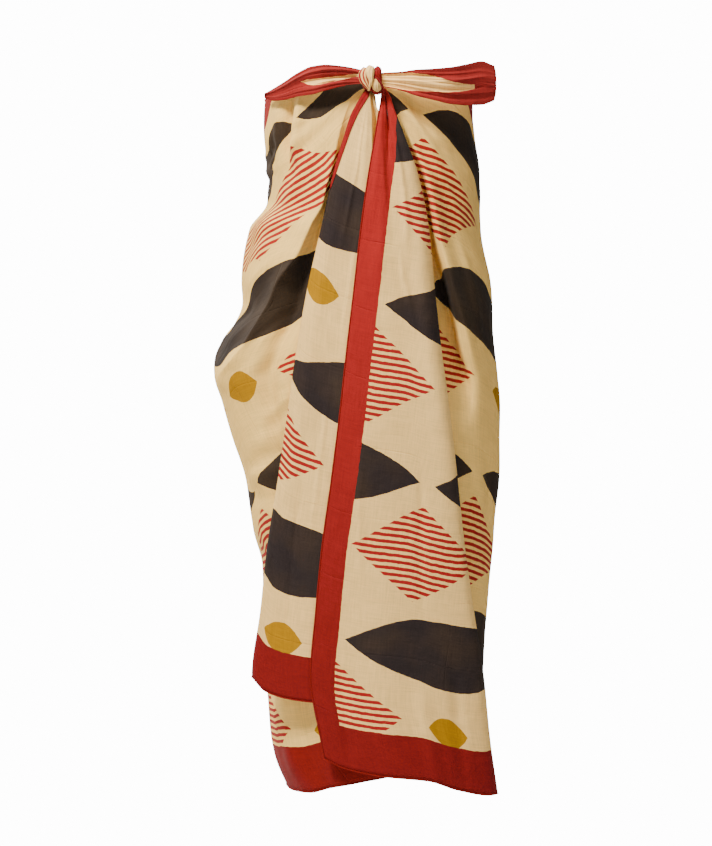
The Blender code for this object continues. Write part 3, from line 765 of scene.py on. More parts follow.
def voile(name, fade, see_through, tint=(1, 1, 1), faded=CREAM):
    """Printed voile: a soft, matt shader mixed with one that lets light through.

    fade draws the print towards its faded colour, as on the wrong side of the cloth. tint multiplies it,
    and paints light: it tints one layer on its own yellower, and makes the ends lighter.
    """
    constants = {"Specular IOR Level": 0.08, "Sheen Weight": 0.03, "Sheen Roughness": 0.45}
    made, tree, shader = new_material(name, constants | {"Sheen Tint": (1.0, 0.93, 0.84, 1)})
    place = wire(tree, "ShaderNodeUVMap", uv_map="sheet").outputs[0]
    printed, weave, pressed, rumples = [
        wire(tree, "ShaderNodeGroup", {"Cloth": place}, node_tree=effect).outputs
        for effect in (PRINT, WEAVE, PRESSED, RUMPLES)
    ]
    toned = vectors(tree, "SCALE", blend(tree, fade, printed["Color"], faded), weave["Tone"])
    # The tint paints light where it is not 1.
    dye_and_painted_light = vectors(tree, "MULTIPLY", toned, tint)
    soft = wire(tree, "ShaderNodeBump", {"Strength": 0.5, "Distance": 0.006, "Height": rumples["Height"]})
    relief = sums(tree, "MULTIPLY_ADD", pressed["Height"], -4.5, weave["Height"])
    fine = {"Strength": 0.30, "Distance": 0.0007, "Height": relief, "Normal": soft.outputs[0]}
    raised = wire(tree, "ShaderNodeBump", fine).outputs[0]
    tree.links.new(dye_and_painted_light, shader.inputs["Base Color"])
    tree.links.new(raised, shader.inputs["Normal"])
    tree.links.new(sums(tree, "MULTIPLY_ADD", printed["Ink"], -0.10, 0.86), shader.inputs["Roughness"])
    through_it = wire(tree, "ShaderNodeBsdfTranslucent", {"Color": dye_and_painted_light, "Normal": raised})
    both = wire(tree, "ShaderNodeMixShader", {0: see_through, 1: shader.outputs[0], 2: through_it.outputs[0]})
    tree.links.new(both.outputs[0], tree.nodes["Material Output"].inputs["Surface"])
    return made


# Where one layer hangs alone, its colour is tinted yellower than that of two on top of each other:
# painted light, for the light that shines through one layer.
SEE_THROUGH = 0.13
FADED = (1.0, 0.62, 0.45, 1)
RIGHT_SIDE = voile("printed voile", 0.0, SEE_THROUGH)
# Painted light: this copy of the voile is tinted yellower, for the light shining through it.
SINGLE_LAYER_PAINTED_GLOW = voile("printed voile, one layer, painted glow", 0.0, SEE_THROUGH, (1.03, 1.02, 0.83))
WRONG_SIDE = voile("printed voile, wrong side", 0.16, SEE_THROUGH, faded=FADED)


def voile_sheet(name, points, places, flip=False, outside=RIGHT_SIDE):
    """A thin wall of printed cloth behind a grid of points, with its place on the sheet as its UV."""
    quads = grid_quads(*points.shape[:2], flip)
    made = surface(name, points, quads, "sheet", places)
    made.data.materials.append(outside)
    made.data.materials.append(WRONG_SIDE)
    wall = made.modifiers.new("cloth", "SOLIDIFY")
    wall.thickness = SHOWN_CLOTH
    wall.offset = -1
    wall.material_offset = 1
    return made


body_points, body_places = body_grid(BODY_ROWS, BODY_COLUMNS)
body_wrap = voile_sheet("wrap_cloth", body_points, body_places, outside=SINGLE_LAYER_PAINTED_GLOW)
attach(body_wrap, "root")
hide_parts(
    "right_side_wrap", "right_back_wrap", "left_back_wrap", "left_side_wrap", "left_front_wrap"
)

HEM_RADIUS = 0.0011
HEM_SIDES = 9
STITCH = 0.0026
THREAD_IN_PAINTED_SHADE = (0.13, 0.004, 0.003, 1)
RED_THREAD = (0.25, 0.009, 0.005, 1)


def thread():
    """Red whipping thread over the rolled edge, lower between the stitches, where its colour is painted
    darker as the shade in the grooves.
    """
    made, tree, shader = new_material("whipped hem", {"Roughness": 0.8, "Specular IOR Level": 0.1})
    along, round_it = two_ways(tree, wire(tree, "ShaderNodeUVMap", uv_map="hem").outputs[0])
    slant = sums(tree, "MULTIPLY_ADD", round_it, 0.6, along)
    wave = sums(tree, "SINE", sums(tree, "MULTIPLY", slant, 2 * np.pi))
    level = sums(tree, "MULTIPLY_ADD", wave, 0.5, 0.5)
    # Painted shade: the thread darkens where it dips between the stitches.
    tree.links.new(blend(tree, level, THREAD_IN_PAINTED_SHADE, RED_THREAD), shader.inputs["Base Color"])
    raised = wire(tree, "ShaderNodeBump", {"Strength": 0.6, "Distance": 0.0006, "Height": level})
    tree.links.new(raised.outputs[0], shader.inputs["Normal"])
    return made


THREAD = thread()


def unit(arrows):
    """Arrows over their own lengths."""
    return arrows / np.linalg.norm(arrows, axis=-1, keepdims=True)


def rolled_hem(name, edge, inside, replaced=None, radius=HEM_RADIUS):
    """A cord of rolled cloth along an edge, where inside is the next line in.

    It is a tube round a line that lies a little outside the edge. Its radius swells with each stitch, by
    the size of a sine of the length along it.
    """
    length = run_along(edge[None])[0]
    rings = int(length[-1] / (STITCH / 4)) + 2
    at = np.linspace(0, length[-1], rings)
    line, inner = (
        np.stack([np.interp(at, length, path[:, k]) for k in range(3)], axis=-1) for path in (edge, inside)
    )
    out = unit(line - inner)
    face = unit(np.cross(unit(np.gradient(line, axis=0)), out))
    centre = line + out * radius * 0.4
    angle = np.linspace(0, 2 * np.pi, HEM_SIDES)[None, :, None]
    swell = radius * (0.86 + 0.14 * np.abs(np.sin(np.pi * at / STITCH)))[:, None, None]
    tube = centre[:, None] + swell * (np.cos(angle) * out[:, None] + np.sin(angle) * face[:, None])
    places = np.stack(np.meshgrid(at / STITCH, np.linspace(0, 1, HEM_SIDES), indexing="ij"), axis=-1)
    made = surface(name, tube, grid_quads(rings, HEM_SIDES), "hem", places)
    made.data.materials.append(THREAD)
    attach(made, "root")
    if replaced:
        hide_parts(replaced)
    return made


body_upper = rolled_hem("wrap_upper_hem", body_points[0], body_points[1], "body_upper_hem")
body_lower = rolled_hem("wrap_lower_hem", body_points[-1], body_points[-2], "body_lower_hem")


# The two front panels: stretches of the same voile that hang from the knot. The left one lies under
# the right one, whose left side is the sheet's own short edge with its red band. Each ends in a soft
# fold, behind which the cloth turns back under itself.

FOLD_RADIUS = 0.0040
SMALLEST_FOLD = 0.0017
FOLD_SHARE = 0.35
TURNED_UNDER = 0.030
UNDER_SHARE = 0.4
UNDER_STARTS_AT = 0.17
FOLD_STARTS_AT = 15
FOLD_STEPS = 12
UNDER_STEPS = 6
LEFT_ROWS = 170
LEFT_COLUMNS = 50
RIGHT_ROWS = 190
RIGHT_COLUMNS = 76

# How far down the sheet each panel's top lies in the knot, and how much the cloth tilts there. Along
# the sheet, the left panel starts just inside its far border. Its turned hem comes out of the knot at
# a row some way down.
LEFT_KEPT = 0.19
LEFT_TILT = 0.42
RIGHT_KEPT = 0.08
RIGHT_TILT = 0.14
LEFT_START = SHEET_LENGTH - 0.05
LEFT_HEM_ROW = 30

FRONT_LINES = rows_of(
    "drop left_fold free_edge right_fold",
    (-0.01, -0.006, 0.015, 0.0215),
    (0.0, -0.0105, 0.0165, 0.0255),
    (0.03, -0.027, 0.012, 0.038),
    (0.07, -0.042, 0.0055, 0.054),
    (0.12, -0.057, -0.003, 0.0715),
    (0.2, -0.0753, -0.0145, 0.0885),
    (0.3, -0.098, -0.026, 0.0985),
    (0.4, -0.1155, -0.0378, 0.1095),
    (0.5, -0.1297, -0.0488, 0.1228),
    (0.6, -0.1445, -0.0615, 0.134),
    (0.7, -0.1605, -0.0755, 0.1448),
    (0.8, -0.1715, -0.0852, 0.159),
    (0.9, -0.1845, -0.0932, 0.1745),
    (1.0, -0.1845, -0.0772, 0.1848),
    (1.085, -0.1845, -0.06, 0.197),
)
HEM_HEADINGS = "x drop"
LEFT_HEM = rows_of(HEM_HEADINGS, (-0.1845, 0.902), (-0.16, 0.924), (-0.114, 0.936), (-0.03, 0.944))
RIGHT_HEM = rows_of(
    HEM_HEADINGS,
    (-0.07, 1.028),
    (-0.043, 1.042),
    (0.011, 1.054),
    (0.085, 1.062),
    (0.126, 1.076),
    (0.176, 1.085),
    (0.197, 1.081),
)
# How far each panel stands off the body wrap, how far the left one runs on under the right one, and how
# deep each rounds back towards its fold.
STANDS = rows_of(
    "drop left right overlap left_back right_back",
    (-0.01, 0.0038, 0.0038, -0.013, 0.0, 0.0),
    (0.004, 0.0112, 0.012, -0.012, 0.0, 0.0),
    (0.03, 0.0118, 0.0172, 0.001, 0.0, 0.001),
    (0.08, 0.0118, 0.0172, 0.016, 0.003, 0.005),
    (0.12, 0.0118, 0.0172, 0.028, 0.005, 0.011),
    (0.2, 0.0119, 0.0172, 0.031, 0.005, 0.0175),
    (0.34, 0.012, 0.0172, 0.036, 0.005, 0.0175),
    (0.45, 0.012, 0.0172, 0.039, 0.005, 0.0125),
    (0.6, 0.012, 0.0172, 0.04, 0.005, 0.008),
    (1.085, 0.012, 0.0172, 0.04, 0.005, 0.008),
)
ROUNDED_WIDTH = 1.6
SHORT_OF_ROUND = 0.985
HEM_LEVEL = 1.03
PANEL_CROWDING = 1.1
FULL_WIDTH = 0.06
LOWEST_CREASES = 0.3
STEEPEST_ROLL = 0.05
ROLL_FADES_OVER = 0.3

# Soft lengthwise rolls by their share of the panel's width, then creases by their two ends, as share
# of the width and drop.
ROLL_HEADINGS = "share_top share_low drop_top drop_low rise width"
LEFT_ROLLS = rows_of(
    ROLL_HEADINGS,
    (0.8, 0.86, 0.04, 0.95, 0.0025, 0.1),
    (0.45, 0.52, 0.05, 0.6, -0.002, 0.14),
)
RIGHT_ROLLS = rows_of(
    ROLL_HEADINGS,
    (0.34, 0.3, 0.02, 0.3, 0.003, 0.1),
    (0.88, 0.9, 0.1, 0.75, 0.0025, 0.1),
    (0.66, 0.62, 0.1, 1.0, -0.002, 0.16),
    (0.4, 0.42, 0.7, 1.1, 0.004, 0.12),
)
CREASE_HEADINGS = "share_a drop_a share_b drop_b rise width"
LEFT_CREASES = rows_of(
    CREASE_HEADINGS,
    (0.11, -0.02, 0.26, 0.08, -0.017, 0.062),
    (0.44, 0.02, 0.46, 0.16, 0.0026, 0.09),
    (0.55, 0.01, 0.62, 0.24, 0.002, 0.03),
    (0.38, 0.22, 0.42, 0.38, 0.0014, 0.02),
    (0.52, 0.45, 0.48, 0.7, 0.0017, 0.03),
    (0.7, 0.6, 0.64, 0.86, -0.002, 0.03),
)
RIGHT_CREASES = rows_of(
    CREASE_HEADINGS,
    (0.5, -0.015, 0.53, 0.056, -0.0165, 0.085),
    (0.42, 0.04, 0.34, 0.15, -0.0035, 0.1),
    (0.16, 0.01, 0.17, 0.2, 0.0032, 0.1),
    (0.66, 0.05, 0.68, 0.26, 0.0034, 0.06),
    (0.56, 0.25, 0.74, 0.36, 0.0017, 0.02),
    (0.3, 0.34, 0.52, 0.42, -0.0012, 0.018),
    (0.2, 0.55, 0.3, 0.8, 0.0017, 0.03),
    (0.72, 0.58, 0.66, 0.84, -0.002, 0.03),
    (0.18, 0.9, 0.14, 1.05, -0.0037, 0.03),
    (0.62, 0.92, 0.66, 1.09, 0.0044, 0.045),
    (0.84, 0.88, 0.8, 1.09, -0.0041, 0.04),
)


def panel_depth(x, drop, stand):
    """How far forward a front panel lies: on a rounded square, stood out from the body wrap.

    It is the front reach and the stand, times what is left of 1 when the share of the width is taken
    away, each raised to the squareness, and the root of that.
    """
    wide = follow(SECTIONS, "panel", drop)
    deep = follow(SECTIONS, "front", drop) + stand
    return deep * (1 - np.abs(x / wide) ** SQUARENESS) ** (1 / SQUARENESS)


def panel_grid(rows, columns, inner, outer, hem, stand, rolls, creases, fold_side):
    """A front panel from its inner edge to its fold, then round the fold and back under itself.

    inner and outer give x at a drop, and a row runs evenly from one to the other. How far forward it lies
    is the panel's depth there, and the rolls and creases, less the rounding towards the fold. The fold is
    an arc, and the cloth behind it keeps its distance from the panel. fold_side is 1 where the fold is to
    the right, and -1 to the left. The other two results are each point's distance along its row and its
    share of the way down.
    """
    shares = np.linspace(0, 1, columns)[None, :]
    share = np.linspace(0, 1, rows)[:, None] ** PANEL_CROWDING
    top = FRONT_LINES[0].drop
    low_x = inner(HEM_LEVEL) + (outer(HEM_LEVEL) - inner(HEM_LEVEL)) * shares
    drop = top + (follow(hem, "drop", low_x, "x") - top) * share
    x = inner(drop) + (outer(drop) - inner(drop)) * shares
    width = np.abs(outer(drop) - inner(drop))
    relief = np.zeros_like(x)
    for roll in rolls:
        down = (drop - roll.drop_top) / (roll.drop_low - roll.drop_top)
        line = roll.share_top + (roll.share_low - roll.share_top) * np.clip(down, 0, 1)
        fades = ease(down / ROLL_FADES_OVER) * ease((FOLD_GOES_OUT_AT - down) / ROLL_FADES_OVER)
        height = np.clip(roll.rise, -STEEPEST_ROLL * width, STEEPEST_ROLL * width)
        relief = relief + height * fades * bump(shares - line, roll.width, roll.width)
    # Where the panel is narrow, near the knot, its creases are lower.
    lower = np.clip(width / FULL_WIDTH, LOWEST_CREASES, 1)
    relief = relief + crease_field(shares + 0 * drop, drop, creases, 1.0) * lower
    # Towards the fold the panel rounds back, as a quarter of an ellipse.
    deep = follow(STANDS, stand + "_back", drop)
    near_fold = np.clip(1 - (1 - shares) * width / (ROUNDED_WIDTH * deep + 1e-6), 0, SHORT_OF_ROUND)
    rounded = deep * (1 - np.sqrt(1 - near_fold**2))
    y = -panel_depth(x, drop, follow(STANDS, stand, drop)) - relief + rounded
    slope_x = x[:, -1:] - x[:, -3:-2]
    slope_y = y[:, -1:] - y[:, -3:-2]
    length = np.hypot(slope_x, slope_y)
    along_x, along_y = slope_x / length, slope_y / length
    in_x, in_y = -along_y * fold_side, along_x * fold_side
    stood = follow(STANDS, stand, drop[:, -1:])
    # The fold's radius is about a third of the room behind the panel, within its two limits.
    radius = np.clip(FOLD_SHARE * stood, SMALLEST_FOLD, FOLD_RADIUS)
    angle = np.radians(np.linspace(FOLD_STARTS_AT, 180, FOLD_STEPS))[None, :]
    arc_x = x[:, -1:] + radius * (np.sin(angle) * along_x + (1 - np.cos(angle)) * in_x)
    arc_y = y[:, -1:] + radius * (np.sin(angle) * along_y + (1 - np.cos(angle)) * in_y)
    under = np.minimum(TURNED_UNDER, UNDER_SHARE * width[:, -1:])
    under = under * np.linspace(UNDER_STARTS_AT, 1, UNDER_STEPS)[None, :]
    back_x = arc_x[:, -1:] - under * along_x
    level = panel_depth(back_x, drop[:, -1:], stood) - panel_depth(x[:, -1:], drop[:, -1:], stood)
    back_y = arc_y[:, -1:] - level + 0.5 * rounded[:, -1:] * np.linspace(0, 1, UNDER_STEPS)[None, :]
    drop = np.concatenate([drop, np.repeat(drop[:, -1:], FOLD_STEPS + UNDER_STEPS, axis=1)], axis=1)
    x = np.concatenate([x, arc_x, back_x], axis=1)
    y = np.concatenate([y, arc_y, back_y], axis=1)
    points = np.stack([x, y, -drop], axis=-1)
    run = run_along(points)
    return points, run, share + 0 * run


def front_line(name):
    """x at a drop along one of the front lines, as a function of the drop."""
    return lambda drop: follow(FRONT_LINES, name, drop)


def left_inner(drop):
    """x at a drop of the left panel's hidden side, past the right one's free edge by the overlap."""
    return free_edge(drop) + follow(STANDS, "overlap", drop)


def hang_panel(side, points, places, flip, side_hem, edge, inside):
    """A front panel's cloth and its two hems. The side hem runs along edge, with inside the next line in."""
    cloth = voile_sheet(f"{side}_panel_cloth", points, places, flip)
    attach(cloth, "root")
    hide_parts(f"{side}_front_panel")
    lower = rolled_hem(f"{side}_panel_lower_hem", points[-1], points[-2], f"{side}_panel_hem")
    turned = rolled_hem(f"{side}_panel_{side_hem}_hem", edge, inside, f"{side}_panel_edge_hem")


left_fold, free_edge, right_fold = map(front_line, ("left_fold", "free_edge", "right_fold"))
left_points, left_run, left_share = panel_grid(
    LEFT_ROWS, LEFT_COLUMNS, left_inner, left_fold, LEFT_HEM, "left", LEFT_ROLLS, LEFT_CREASES, -1
)
left_down = LEFT_KEPT + (SHEET_WIDTH - LEFT_KEPT) * left_share
left_down = left_down + LEFT_TILT * left_run * (1 - left_share)
left_places = np.stack([LEFT_START - left_run, left_down], axis=-1)
left_free = left_points[LEFT_HEM_ROW:]
hang_panel(
    "left", left_points, left_places, True, "turned", left_free[:, -1], left_free[:, -2],
)

# Where the panel leaves the knot, its border is turned over the fold and narrows to nothing.
STRIP_WIDTH = 0.0125
STRIP_END = 0.149
STRIP_LIFT = 0.0011
STRIP_COLUMNS = 12
STRIP_START = 1.30
STRIP_EDGE_DOWN = 0.010
STRIP_DEPTH_DOWN = 0.050
COLUMNS_PAST_FOLD = 5
FOLD_COLUMN = LEFT_COLUMNS - 1


def at_columns(points, place):
    """The points of a grid at places between its columns, each the mix of the two columns beside it."""
    low = np.clip(np.floor(place).astype(int), 0, points.shape[1] - 2)[..., None]
    near = np.take_along_axis(points, low, axis=1)
    far = np.take_along_axis(points, low + 1, axis=1)
    return near + (far - near) * (place[..., None] - low)


strip_rows = int((-left_points[:, FOLD_COLUMN, 2] < STRIP_END).sum())
strip_drop = -left_points[:strip_rows, FOLD_COLUMN, 2][:, None]
strip_share = np.clip(1 - strip_drop / STRIP_END, 0.002, 1.1) ** 0.7
strip_across = np.linspace(0, 1, STRIP_COLUMNS)[None, :]
panel_width = left_run[:strip_rows, FOLD_COLUMN][:, None]
strip_inside = FOLD_COLUMN * (1 - np.minimum(STRIP_WIDTH * strip_share / panel_width, 0.8))
strip_outside = FOLD_COLUMN + COLUMNS_PAST_FOLD * strip_share
strip_place = strip_inside + (strip_outside - strip_inside) * strip_across
strip_points = at_columns(left_points[:strip_rows], strip_place) + np.array([-0.5, -1.0, 0.0]) * STRIP_LIFT
strip_down = STRIP_EDGE_DOWN + STRIP_DEPTH_DOWN * strip_share * strip_across
strip_places = np.stack([STRIP_START + strip_drop + 0 * strip_across, strip_down], axis=-1)
left_strip = voile_sheet("left_panel_turned_border", strip_points, strip_places, flip=True)
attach(left_strip, "root")

right_points, right_run, right_share = panel_grid(
    RIGHT_ROWS, RIGHT_COLUMNS, free_edge, right_fold, RIGHT_HEM, "right", RIGHT_ROLLS, RIGHT_CREASES, 1
)
right_down = RIGHT_KEPT + (SHEET_WIDTH - RIGHT_KEPT) * right_share
right_down = right_down - RIGHT_TILT * right_run * (1 - right_share)
right_places = np.stack([right_run, right_down], axis=-1)
hang_panel(
    "right", right_points, right_places, False, "side", right_points[:, 0], right_points[:, 1],
)


# The knot: the two top corners of the voile, crossed and tied once. Its core is bunched red border. A
# cream turn comes down over the front, beside a red-striped one on the left. On the right the red edge
# runs in over a cream puff, with a red loop below it.

KNOT_CENTRE = np.array([-0.0015, -0.1404, 0.0220])
KNOT_HALF = np.array([0.0205, 0.0160, 0.0215])
CORE_HALF = np.array([0.0160, 0.0125, 0.0180])
CORE_SHIFT = np.array([0.0030, 0.0, 0.0010])
CORE_GROOVES = 0.07
CORE_WAVES = np.array([11.0, 1.5, 7.0])
CORE_U, CORE_U_SPREAD = 0.770, 0.004
CORE_V, CORE_V_SPREAD = 0.030, 0.010
CORE_COLUMNS = 65
CORE_ROWS = 44
TURN_ROWS = 46
TURN_WIDTH_STEPS = 33
TURN_GROOVES = 0.0008

# A rounded block, grooved by a wave that runs aslant over it.
around = np.radians(np.linspace(0, 360, CORE_COLUMNS))[None, :]
up = np.radians(np.linspace(-88, 88, CORE_ROWS))[:, None]
direction = np.stack(
    [np.cos(up) * np.cos(around), np.cos(up) * np.sin(around), np.sin(up) + 0 * around], axis=-1
)
squarish = direction / (np.abs(direction) ** 3).sum(axis=-1, keepdims=True) ** (1 / 3)
bunched = 1 - CORE_GROOVES * np.cos(squarish @ CORE_WAVES) ** 2
core_points = squarish * bunched[..., None] * CORE_HALF + KNOT_CENTRE + CORE_SHIFT
core_u = CORE_U + CORE_U_SPREAD * np.sin(around) + 0 * up
core_v = CORE_V + CORE_V_SPREAD * up + 0 * around
core_places = np.stack([core_u, core_v], axis=-1)
core_quads = grid_quads(*core_points.shape[:2], flip=True)
knot_core = surface("knot_bunch", core_points, core_quads, "sheet", core_places)
knot_core.data.materials.append(RIGHT_SIDE)
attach(knot_core, "root")
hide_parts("knot_core")

TURN_HEADINGS = "x z half_width"
MIDDLE_TURN = rows_of(
    TURN_HEADINGS,
    (0.0023, 0.0222, 0.0042),
    (0.0008, 0.018, 0.0066),
    (-0.0004, 0.0137, 0.0074),
    (0.0004, 0.006, 0.0058),
    (0.0015, -0.0012, 0.0038),
    (0.0008, -0.007, 0.0026),
    (-0.0007, -0.012, 0.0018),
    (-0.0022, -0.0175, 0.0014),
)
LEFT_TURN = rows_of(
    TURN_HEADINGS,
    (-0.007, 0.019, 0.0036),
    (-0.01, 0.013, 0.0058),
    (-0.0112, 0.0075, 0.007),
    (-0.01, 0.0012, 0.0068),
    (-0.0068, -0.0055, 0.0054),
    (-0.0034, -0.0112, 0.0034),
    (-0.001, -0.0162, 0.0016),
)
UPPER_TURN = rows_of(
    TURN_HEADINGS,
    (0.008, 0.0195, 0.004),
    (0.0125, 0.015, 0.0056),
    (0.0125, 0.009, 0.0048),
    (0.0096, 0.003, 0.0018),
)
EDGE_TURN = rows_of(
    TURN_HEADINGS,
    (0.0076, 0.004, 0.0012),
    (0.011, 0.0012, 0.0018),
    (0.015, -0.0036, 0.002),
    (0.019, -0.01, 0.0021),
    (0.0208, -0.018, 0.0022),
    (0.0205, -0.025, 0.0022),
)
PUFF_TURN = rows_of(
    TURN_HEADINGS,
    (0.008, 0.0016, 0.0022),
    (0.0096, -0.004, 0.0056),
    (0.0102, -0.0095, 0.0076),
    (0.0104, -0.015, 0.007),
    (0.0106, -0.0185, 0.005),
)
LOOP_TURN = rows_of(
    TURN_HEADINGS,
    (0.0026, -0.014, 0.0014),
    (0.0062, -0.018, 0.0024),
    (0.0115, -0.0202, 0.0028),
    (0.0165, -0.018, 0.0024),
    (0.0196, -0.0135, 0.0014),
)

# Where each turn's cloth comes from on the sheet: along the turn, then across it.
CREAM_CLOTH, STRIPED_CLOTH, BORDER_CLOTH = rows_of(
    "u_start u_end v_left v_right",
    (0.732, 0.755, 0.25, 0.27),
    (0.48, 0.52, 0.2435, 0.2702),
    (0.7, 0.74, 0.02, 0.05),
)


def turn_over_knot(name, rows, sunk, lift, pleats, patch):
    """A turn of cloth over the front of the knot: a path in x and z, laid on the knot and puffed up.

    The puff is lift times a half circle across the turn, less how far the turn's edges are sunk. By a
    half sine along the turn, it swells from about half of that to the whole, and back. Fine pleats, a
    cosine across the turn, are added to it.
    """
    at = np.linspace(0, 1, TURN_ROWS)
    stations = np.linspace(0, 1, len(rows))
    path = np.stack([through(stations, column(rows, axis), at) for axis in "xz"], axis=-1)
    along = unit(np.gradient(path, axis=0))
    beside = np.stack([-along[:, 1], along[:, 0]], axis=-1)
    side = np.sin(np.linspace(-np.pi / 2, np.pi / 2, TURN_WIDTH_STEPS))
    wide = through(stations, column(rows, "half_width"), at)
    laid = path[:, None] + beside[:, None] * (side[None, :, None] * wide[:, None, None])
    near = np.clip((np.abs(laid / KNOT_HALF[[0, 2]]) ** 3).sum(axis=-1), 0, SHORT_OF_ROUND)
    swell = (0.35 + 0.65 * np.sin(np.pi * (0.12 + 0.80 * at)))[:, None]
    puff = lift * np.sqrt(np.clip(1 - side**2, 0, 1))[None, :] * swell
    grooves = np.cos(pleats * np.pi * (side[None, :] + 0.25 * np.sin(3 * at)[:, None]))
    puff = puff + TURN_GROOVES * grooves * (1 - side[None, :] ** 4) - sunk
    y = -KNOT_HALF[1] * (1 - near) ** (1 / 3) - puff
    points = np.stack([laid[..., 0], y, laid[..., 1]], axis=-1) + KNOT_CENTRE
    u = patch.u_start + (patch.u_end - patch.u_start) * at[:, None] + 0 * side[None, :]
    v = patch.v_left + (patch.v_right - patch.v_left) * (side[None, :] + 1) / 2 + 0 * at[:, None]
    made = voile_sheet(name, points, np.stack([u, v], axis=-1))
    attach(made, "root")
    return made


middle_turn = turn_over_knot("knot_middle_turn", MIDDLE_TURN, 0.0035, 0.0085, 3, CREAM_CLOTH)
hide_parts("knot_band")
turn_over_knot("knot_left_turn", LEFT_TURN, 0.0050, 0.0055, 0, STRIPED_CLOTH)
turn_over_knot("knot_upper_turn", UPPER_TURN, 0.0070, 0.0040, 3, BORDER_CLOTH)
turn_over_knot("knot_puff", PUFF_TURN, 0.0055, 0.0075, 4, CREAM_CLOTH)
turn_over_knot("knot_red_edge", EDGE_TURN, 0.0030, 0.0045, 1, BORDER_CLOTH)
turn_over_knot("knot_loop", LOOP_TURN, 0.0055, 0.0055, 1, BORDER_CLOTH)


# The two ends: the sheet's top corners, of the same voile, which stick out of the knot. Each is
# gathered along its length, folded lengthwise so that its border shows above and below, and its
# gathers are lower towards its stitched end.

TAIL_HEADINGS = "reach top low depth cream_top cream_low"
RIGHT_TAIL = rows_of(
    TAIL_HEADINGS,
    (0.021, 0.033, 0.013, 0.141, 0.1, 0.92),
    (0.048, 0.035, 0.0064, 0.146, 0.08, 0.96),
    (0.068, 0.038, -0.0008, 0.147, 0.14, 0.84),
    (0.097, 0.04, -0.0078, 0.14, 0.24, 0.74),
    (0.125, 0.043, -0.0136, 0.129, 0.4, 0.69),
    (0.149, 0.048, -0.015, 0.115, 0.5, 0.65),
    (0.172, 0.053, -0.014, 0.1, 0.55, 0.6),
    (0.19, 0.047, -0.008, 0.088, 0.58, 0.56),
)
LEFT_TAIL = rows_of(
    TAIL_HEADINGS,
    (0.0235, 0.037, 0.017, 0.141, 0.34, 0.52),
    (0.046, 0.0437, 0.0132, 0.146, 0.5, 0.7),
    (0.07, 0.046, 0.007, 0.144, 0.51, 0.74),
    (0.092, 0.0437, 0.0009, 0.134, 0.47, 0.68),
    (0.115, 0.0336, -0.0019, 0.117, 0.42, 0.4),
    (0.133, 0.0222, -0.0059, 0.1, 0.62, 0.5),
    (0.15, 0.0124, -0.007, 0.081, 0.62, 0.5),
    (0.164, 0.005, -0.003, 0.064, 0.62, 0.5),
)
FOLD_STEP = 0.0016
BORDER_FOLD = 0.014
ROOT_SUNK = 0.004
CUT_A_REACH = 1.3
THIN_HEM_RADIUS = 0.0009
TAIL_COLUMNS = 90
TAIL_ROWS = 84
LOWER_HEM_COLUMN = 12
GATHER_HEADINGS = "line_in line_out rise width"
RIGHT_GATHERS = rows_of(
    GATHER_HEADINGS,
    (0.2, 0.16, -0.002, 0.1),
    (0.48, 0.5, 0.0045, 0.16),
    (0.78, 0.8, -0.0015, 0.1),
    (0.1, 0.24, 0.0019, 0.034),
    (0.26, 0.4, 0.002, 0.032),
    (0.36, 0.52, -0.0019, 0.034),
    (0.5, 0.33, 0.0018, 0.03),
    (0.6, 0.62, -0.0022, 0.036),
    (0.7, 0.74, 0.0019, 0.034),
    (0.88, 0.86, -0.002, 0.036),
)
LEFT_GATHERS = rows_of(
    GATHER_HEADINGS,
    (0.22, 0.22, 0.0035, 0.14),
    (0.52, 0.52, -0.003, 0.12),
    (0.82, 0.82, 0.003, 0.12),
    (0.06, 0.16, -0.0018, 0.034),
    (0.18, 0.24, 0.002, 0.032),
    (0.3, 0.34, -0.0022, 0.036),
    (0.4, 0.28, 0.0018, 0.034),
    (0.64, 0.74, 0.0019, 0.034),
    (0.78, 0.6, -0.0022, 0.036),
    (0.92, 0.86, -0.0018, 0.034),
)


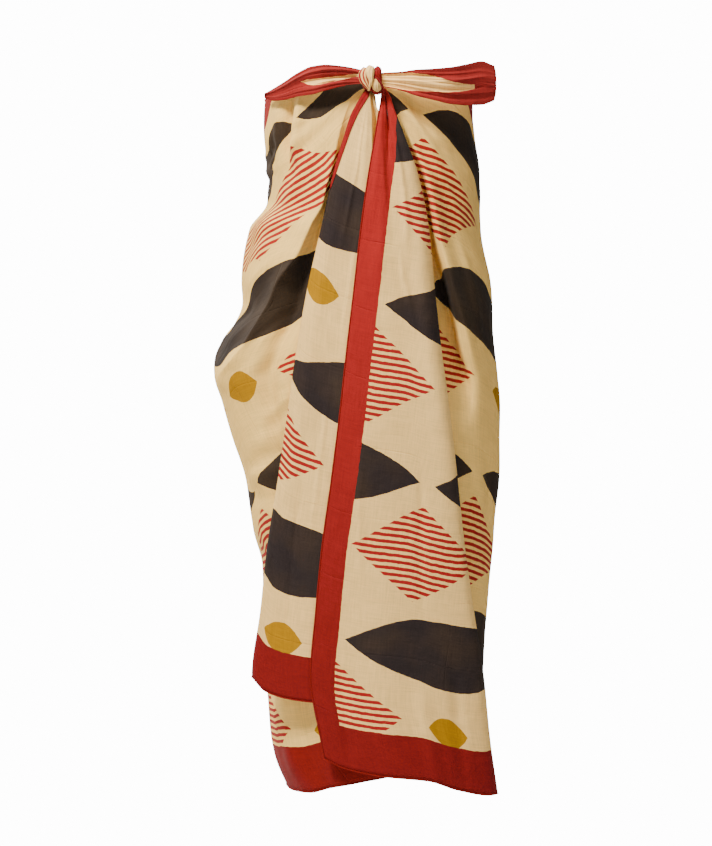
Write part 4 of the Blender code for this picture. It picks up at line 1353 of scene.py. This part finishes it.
def tail_grid(table, side, gathers, lean):
    """An end of the cloth from the knot outwards, with its gathers running out along it.

    Above and below the cream, the border is folded over it and stands a step further forward.
    Down the sheet, the place is the border's width at the two lines where the cream begins and ends,
    more between them and less beyond them, so that the border's colour lies above and below.
    """
    out = np.linspace(0, 1, TAIL_COLUMNS)[None, :]
    across = np.linspace(0, 1, TAIL_ROWS)[:, None]
    reaches = column(table, "reach")
    bow = lean * (1 - np.abs(2 * across - 1) ** 3) * out**4
    reach = reaches[0] + (reaches[-1] - reaches[0]) * out + 0 * across
    top = follow(table, "top", reach, "reach")
    low = follow(table, "low", reach, "reach")
    height = top + (low - top) * across
    lift = np.minimum(np.abs((height[:, :1] - KNOT_CENTRE[2]) / KNOT_HALF[2]), 0.95)
    root = side * KNOT_CENTRE[0] + CORE_HALF[0] * (1 - lift**3) ** (1 / 3) - ROOT_SUNK
    reach = reach + (root - reaches[0]) * (1 - ease(out / 0.2))
    ripple = np.zeros_like(reach)
    for gather in gathers:
        line = gather.line_in + (gather.line_out - gather.line_in) * out
        ripple = ripple + gather.rise * bump(across - line, gather.width, gather.width)
    # The gathers are lower at the knot, and again towards the stitched end.
    fades = (0.35 + 0.65 * ease(out / 0.25)) * (1 - 0.55 * ease((out - 0.55) / 0.45))
    begins = follow(table, "cream_top", reach, "reach")
    ends = follow(table, "cream_low", reach, "reach")
    over = np.tanh((begins - across) / BORDER_FOLD) + np.tanh((across - ends) / BORDER_FOLD)
    step = FOLD_STEP * over * ease((ends - begins) / 0.08) * ease(out / 0.1)
    depth = follow(table, "depth", reach, "reach") + ripple * fades + step
    points = np.stack([side * (reach + bow), -depth, height], axis=-1)
    down = LONG_BORDER + (top - low) * np.minimum(across - begins, ends - across)
    from_end = (reaches[-1] - reach) * CUT_A_REACH
    return points, np.stack([from_end if side > 0 else SHEET_LENGTH - from_end, down], axis=-1)


# The ends let more light through than the rest of the voile. Their colour is also multiplied by 1.19: painted
# light, which makes them lighter than the same voile elsewhere.
END_CLOTH_PAINTED_LIGHTER = voile("printed voile, sheer ends, painted lighter", 0.015, 0.22, (1.19, 1.19, 1.19), FADED)
for end, side, table, gathers, lean, flat, hem_radius in (
    ("right", 1, RIGHT_TAIL, RIGHT_GATHERS, 0.0035, (0.055, 0.18), HEM_RADIUS),
    ("left", -1, LEFT_TAIL, LEFT_GATHERS, 0.001, (0.040, 0.17), THIN_HEM_RADIUS),
):
    points, places = tail_grid(table, side, gathers, lean)
    cloth = voile_sheet(f"{end}_end_cloth", points, places, end == "left", END_CLOTH_PAINTED_LIGHTER)
    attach(cloth, "root")
    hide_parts(f"{end}_tail")
    outer = rolled_hem(f"{end}_end_hem", points[:, -1], points[:, -2], f"{end}_tail_end_hem", hem_radius)
    free = points[:, LOWER_HEM_COLUMN:]
    lower = rolled_hem(f"{end}_end_lower_hem", free[-1], free[-2], radius=THIN_HEM_RADIUS)
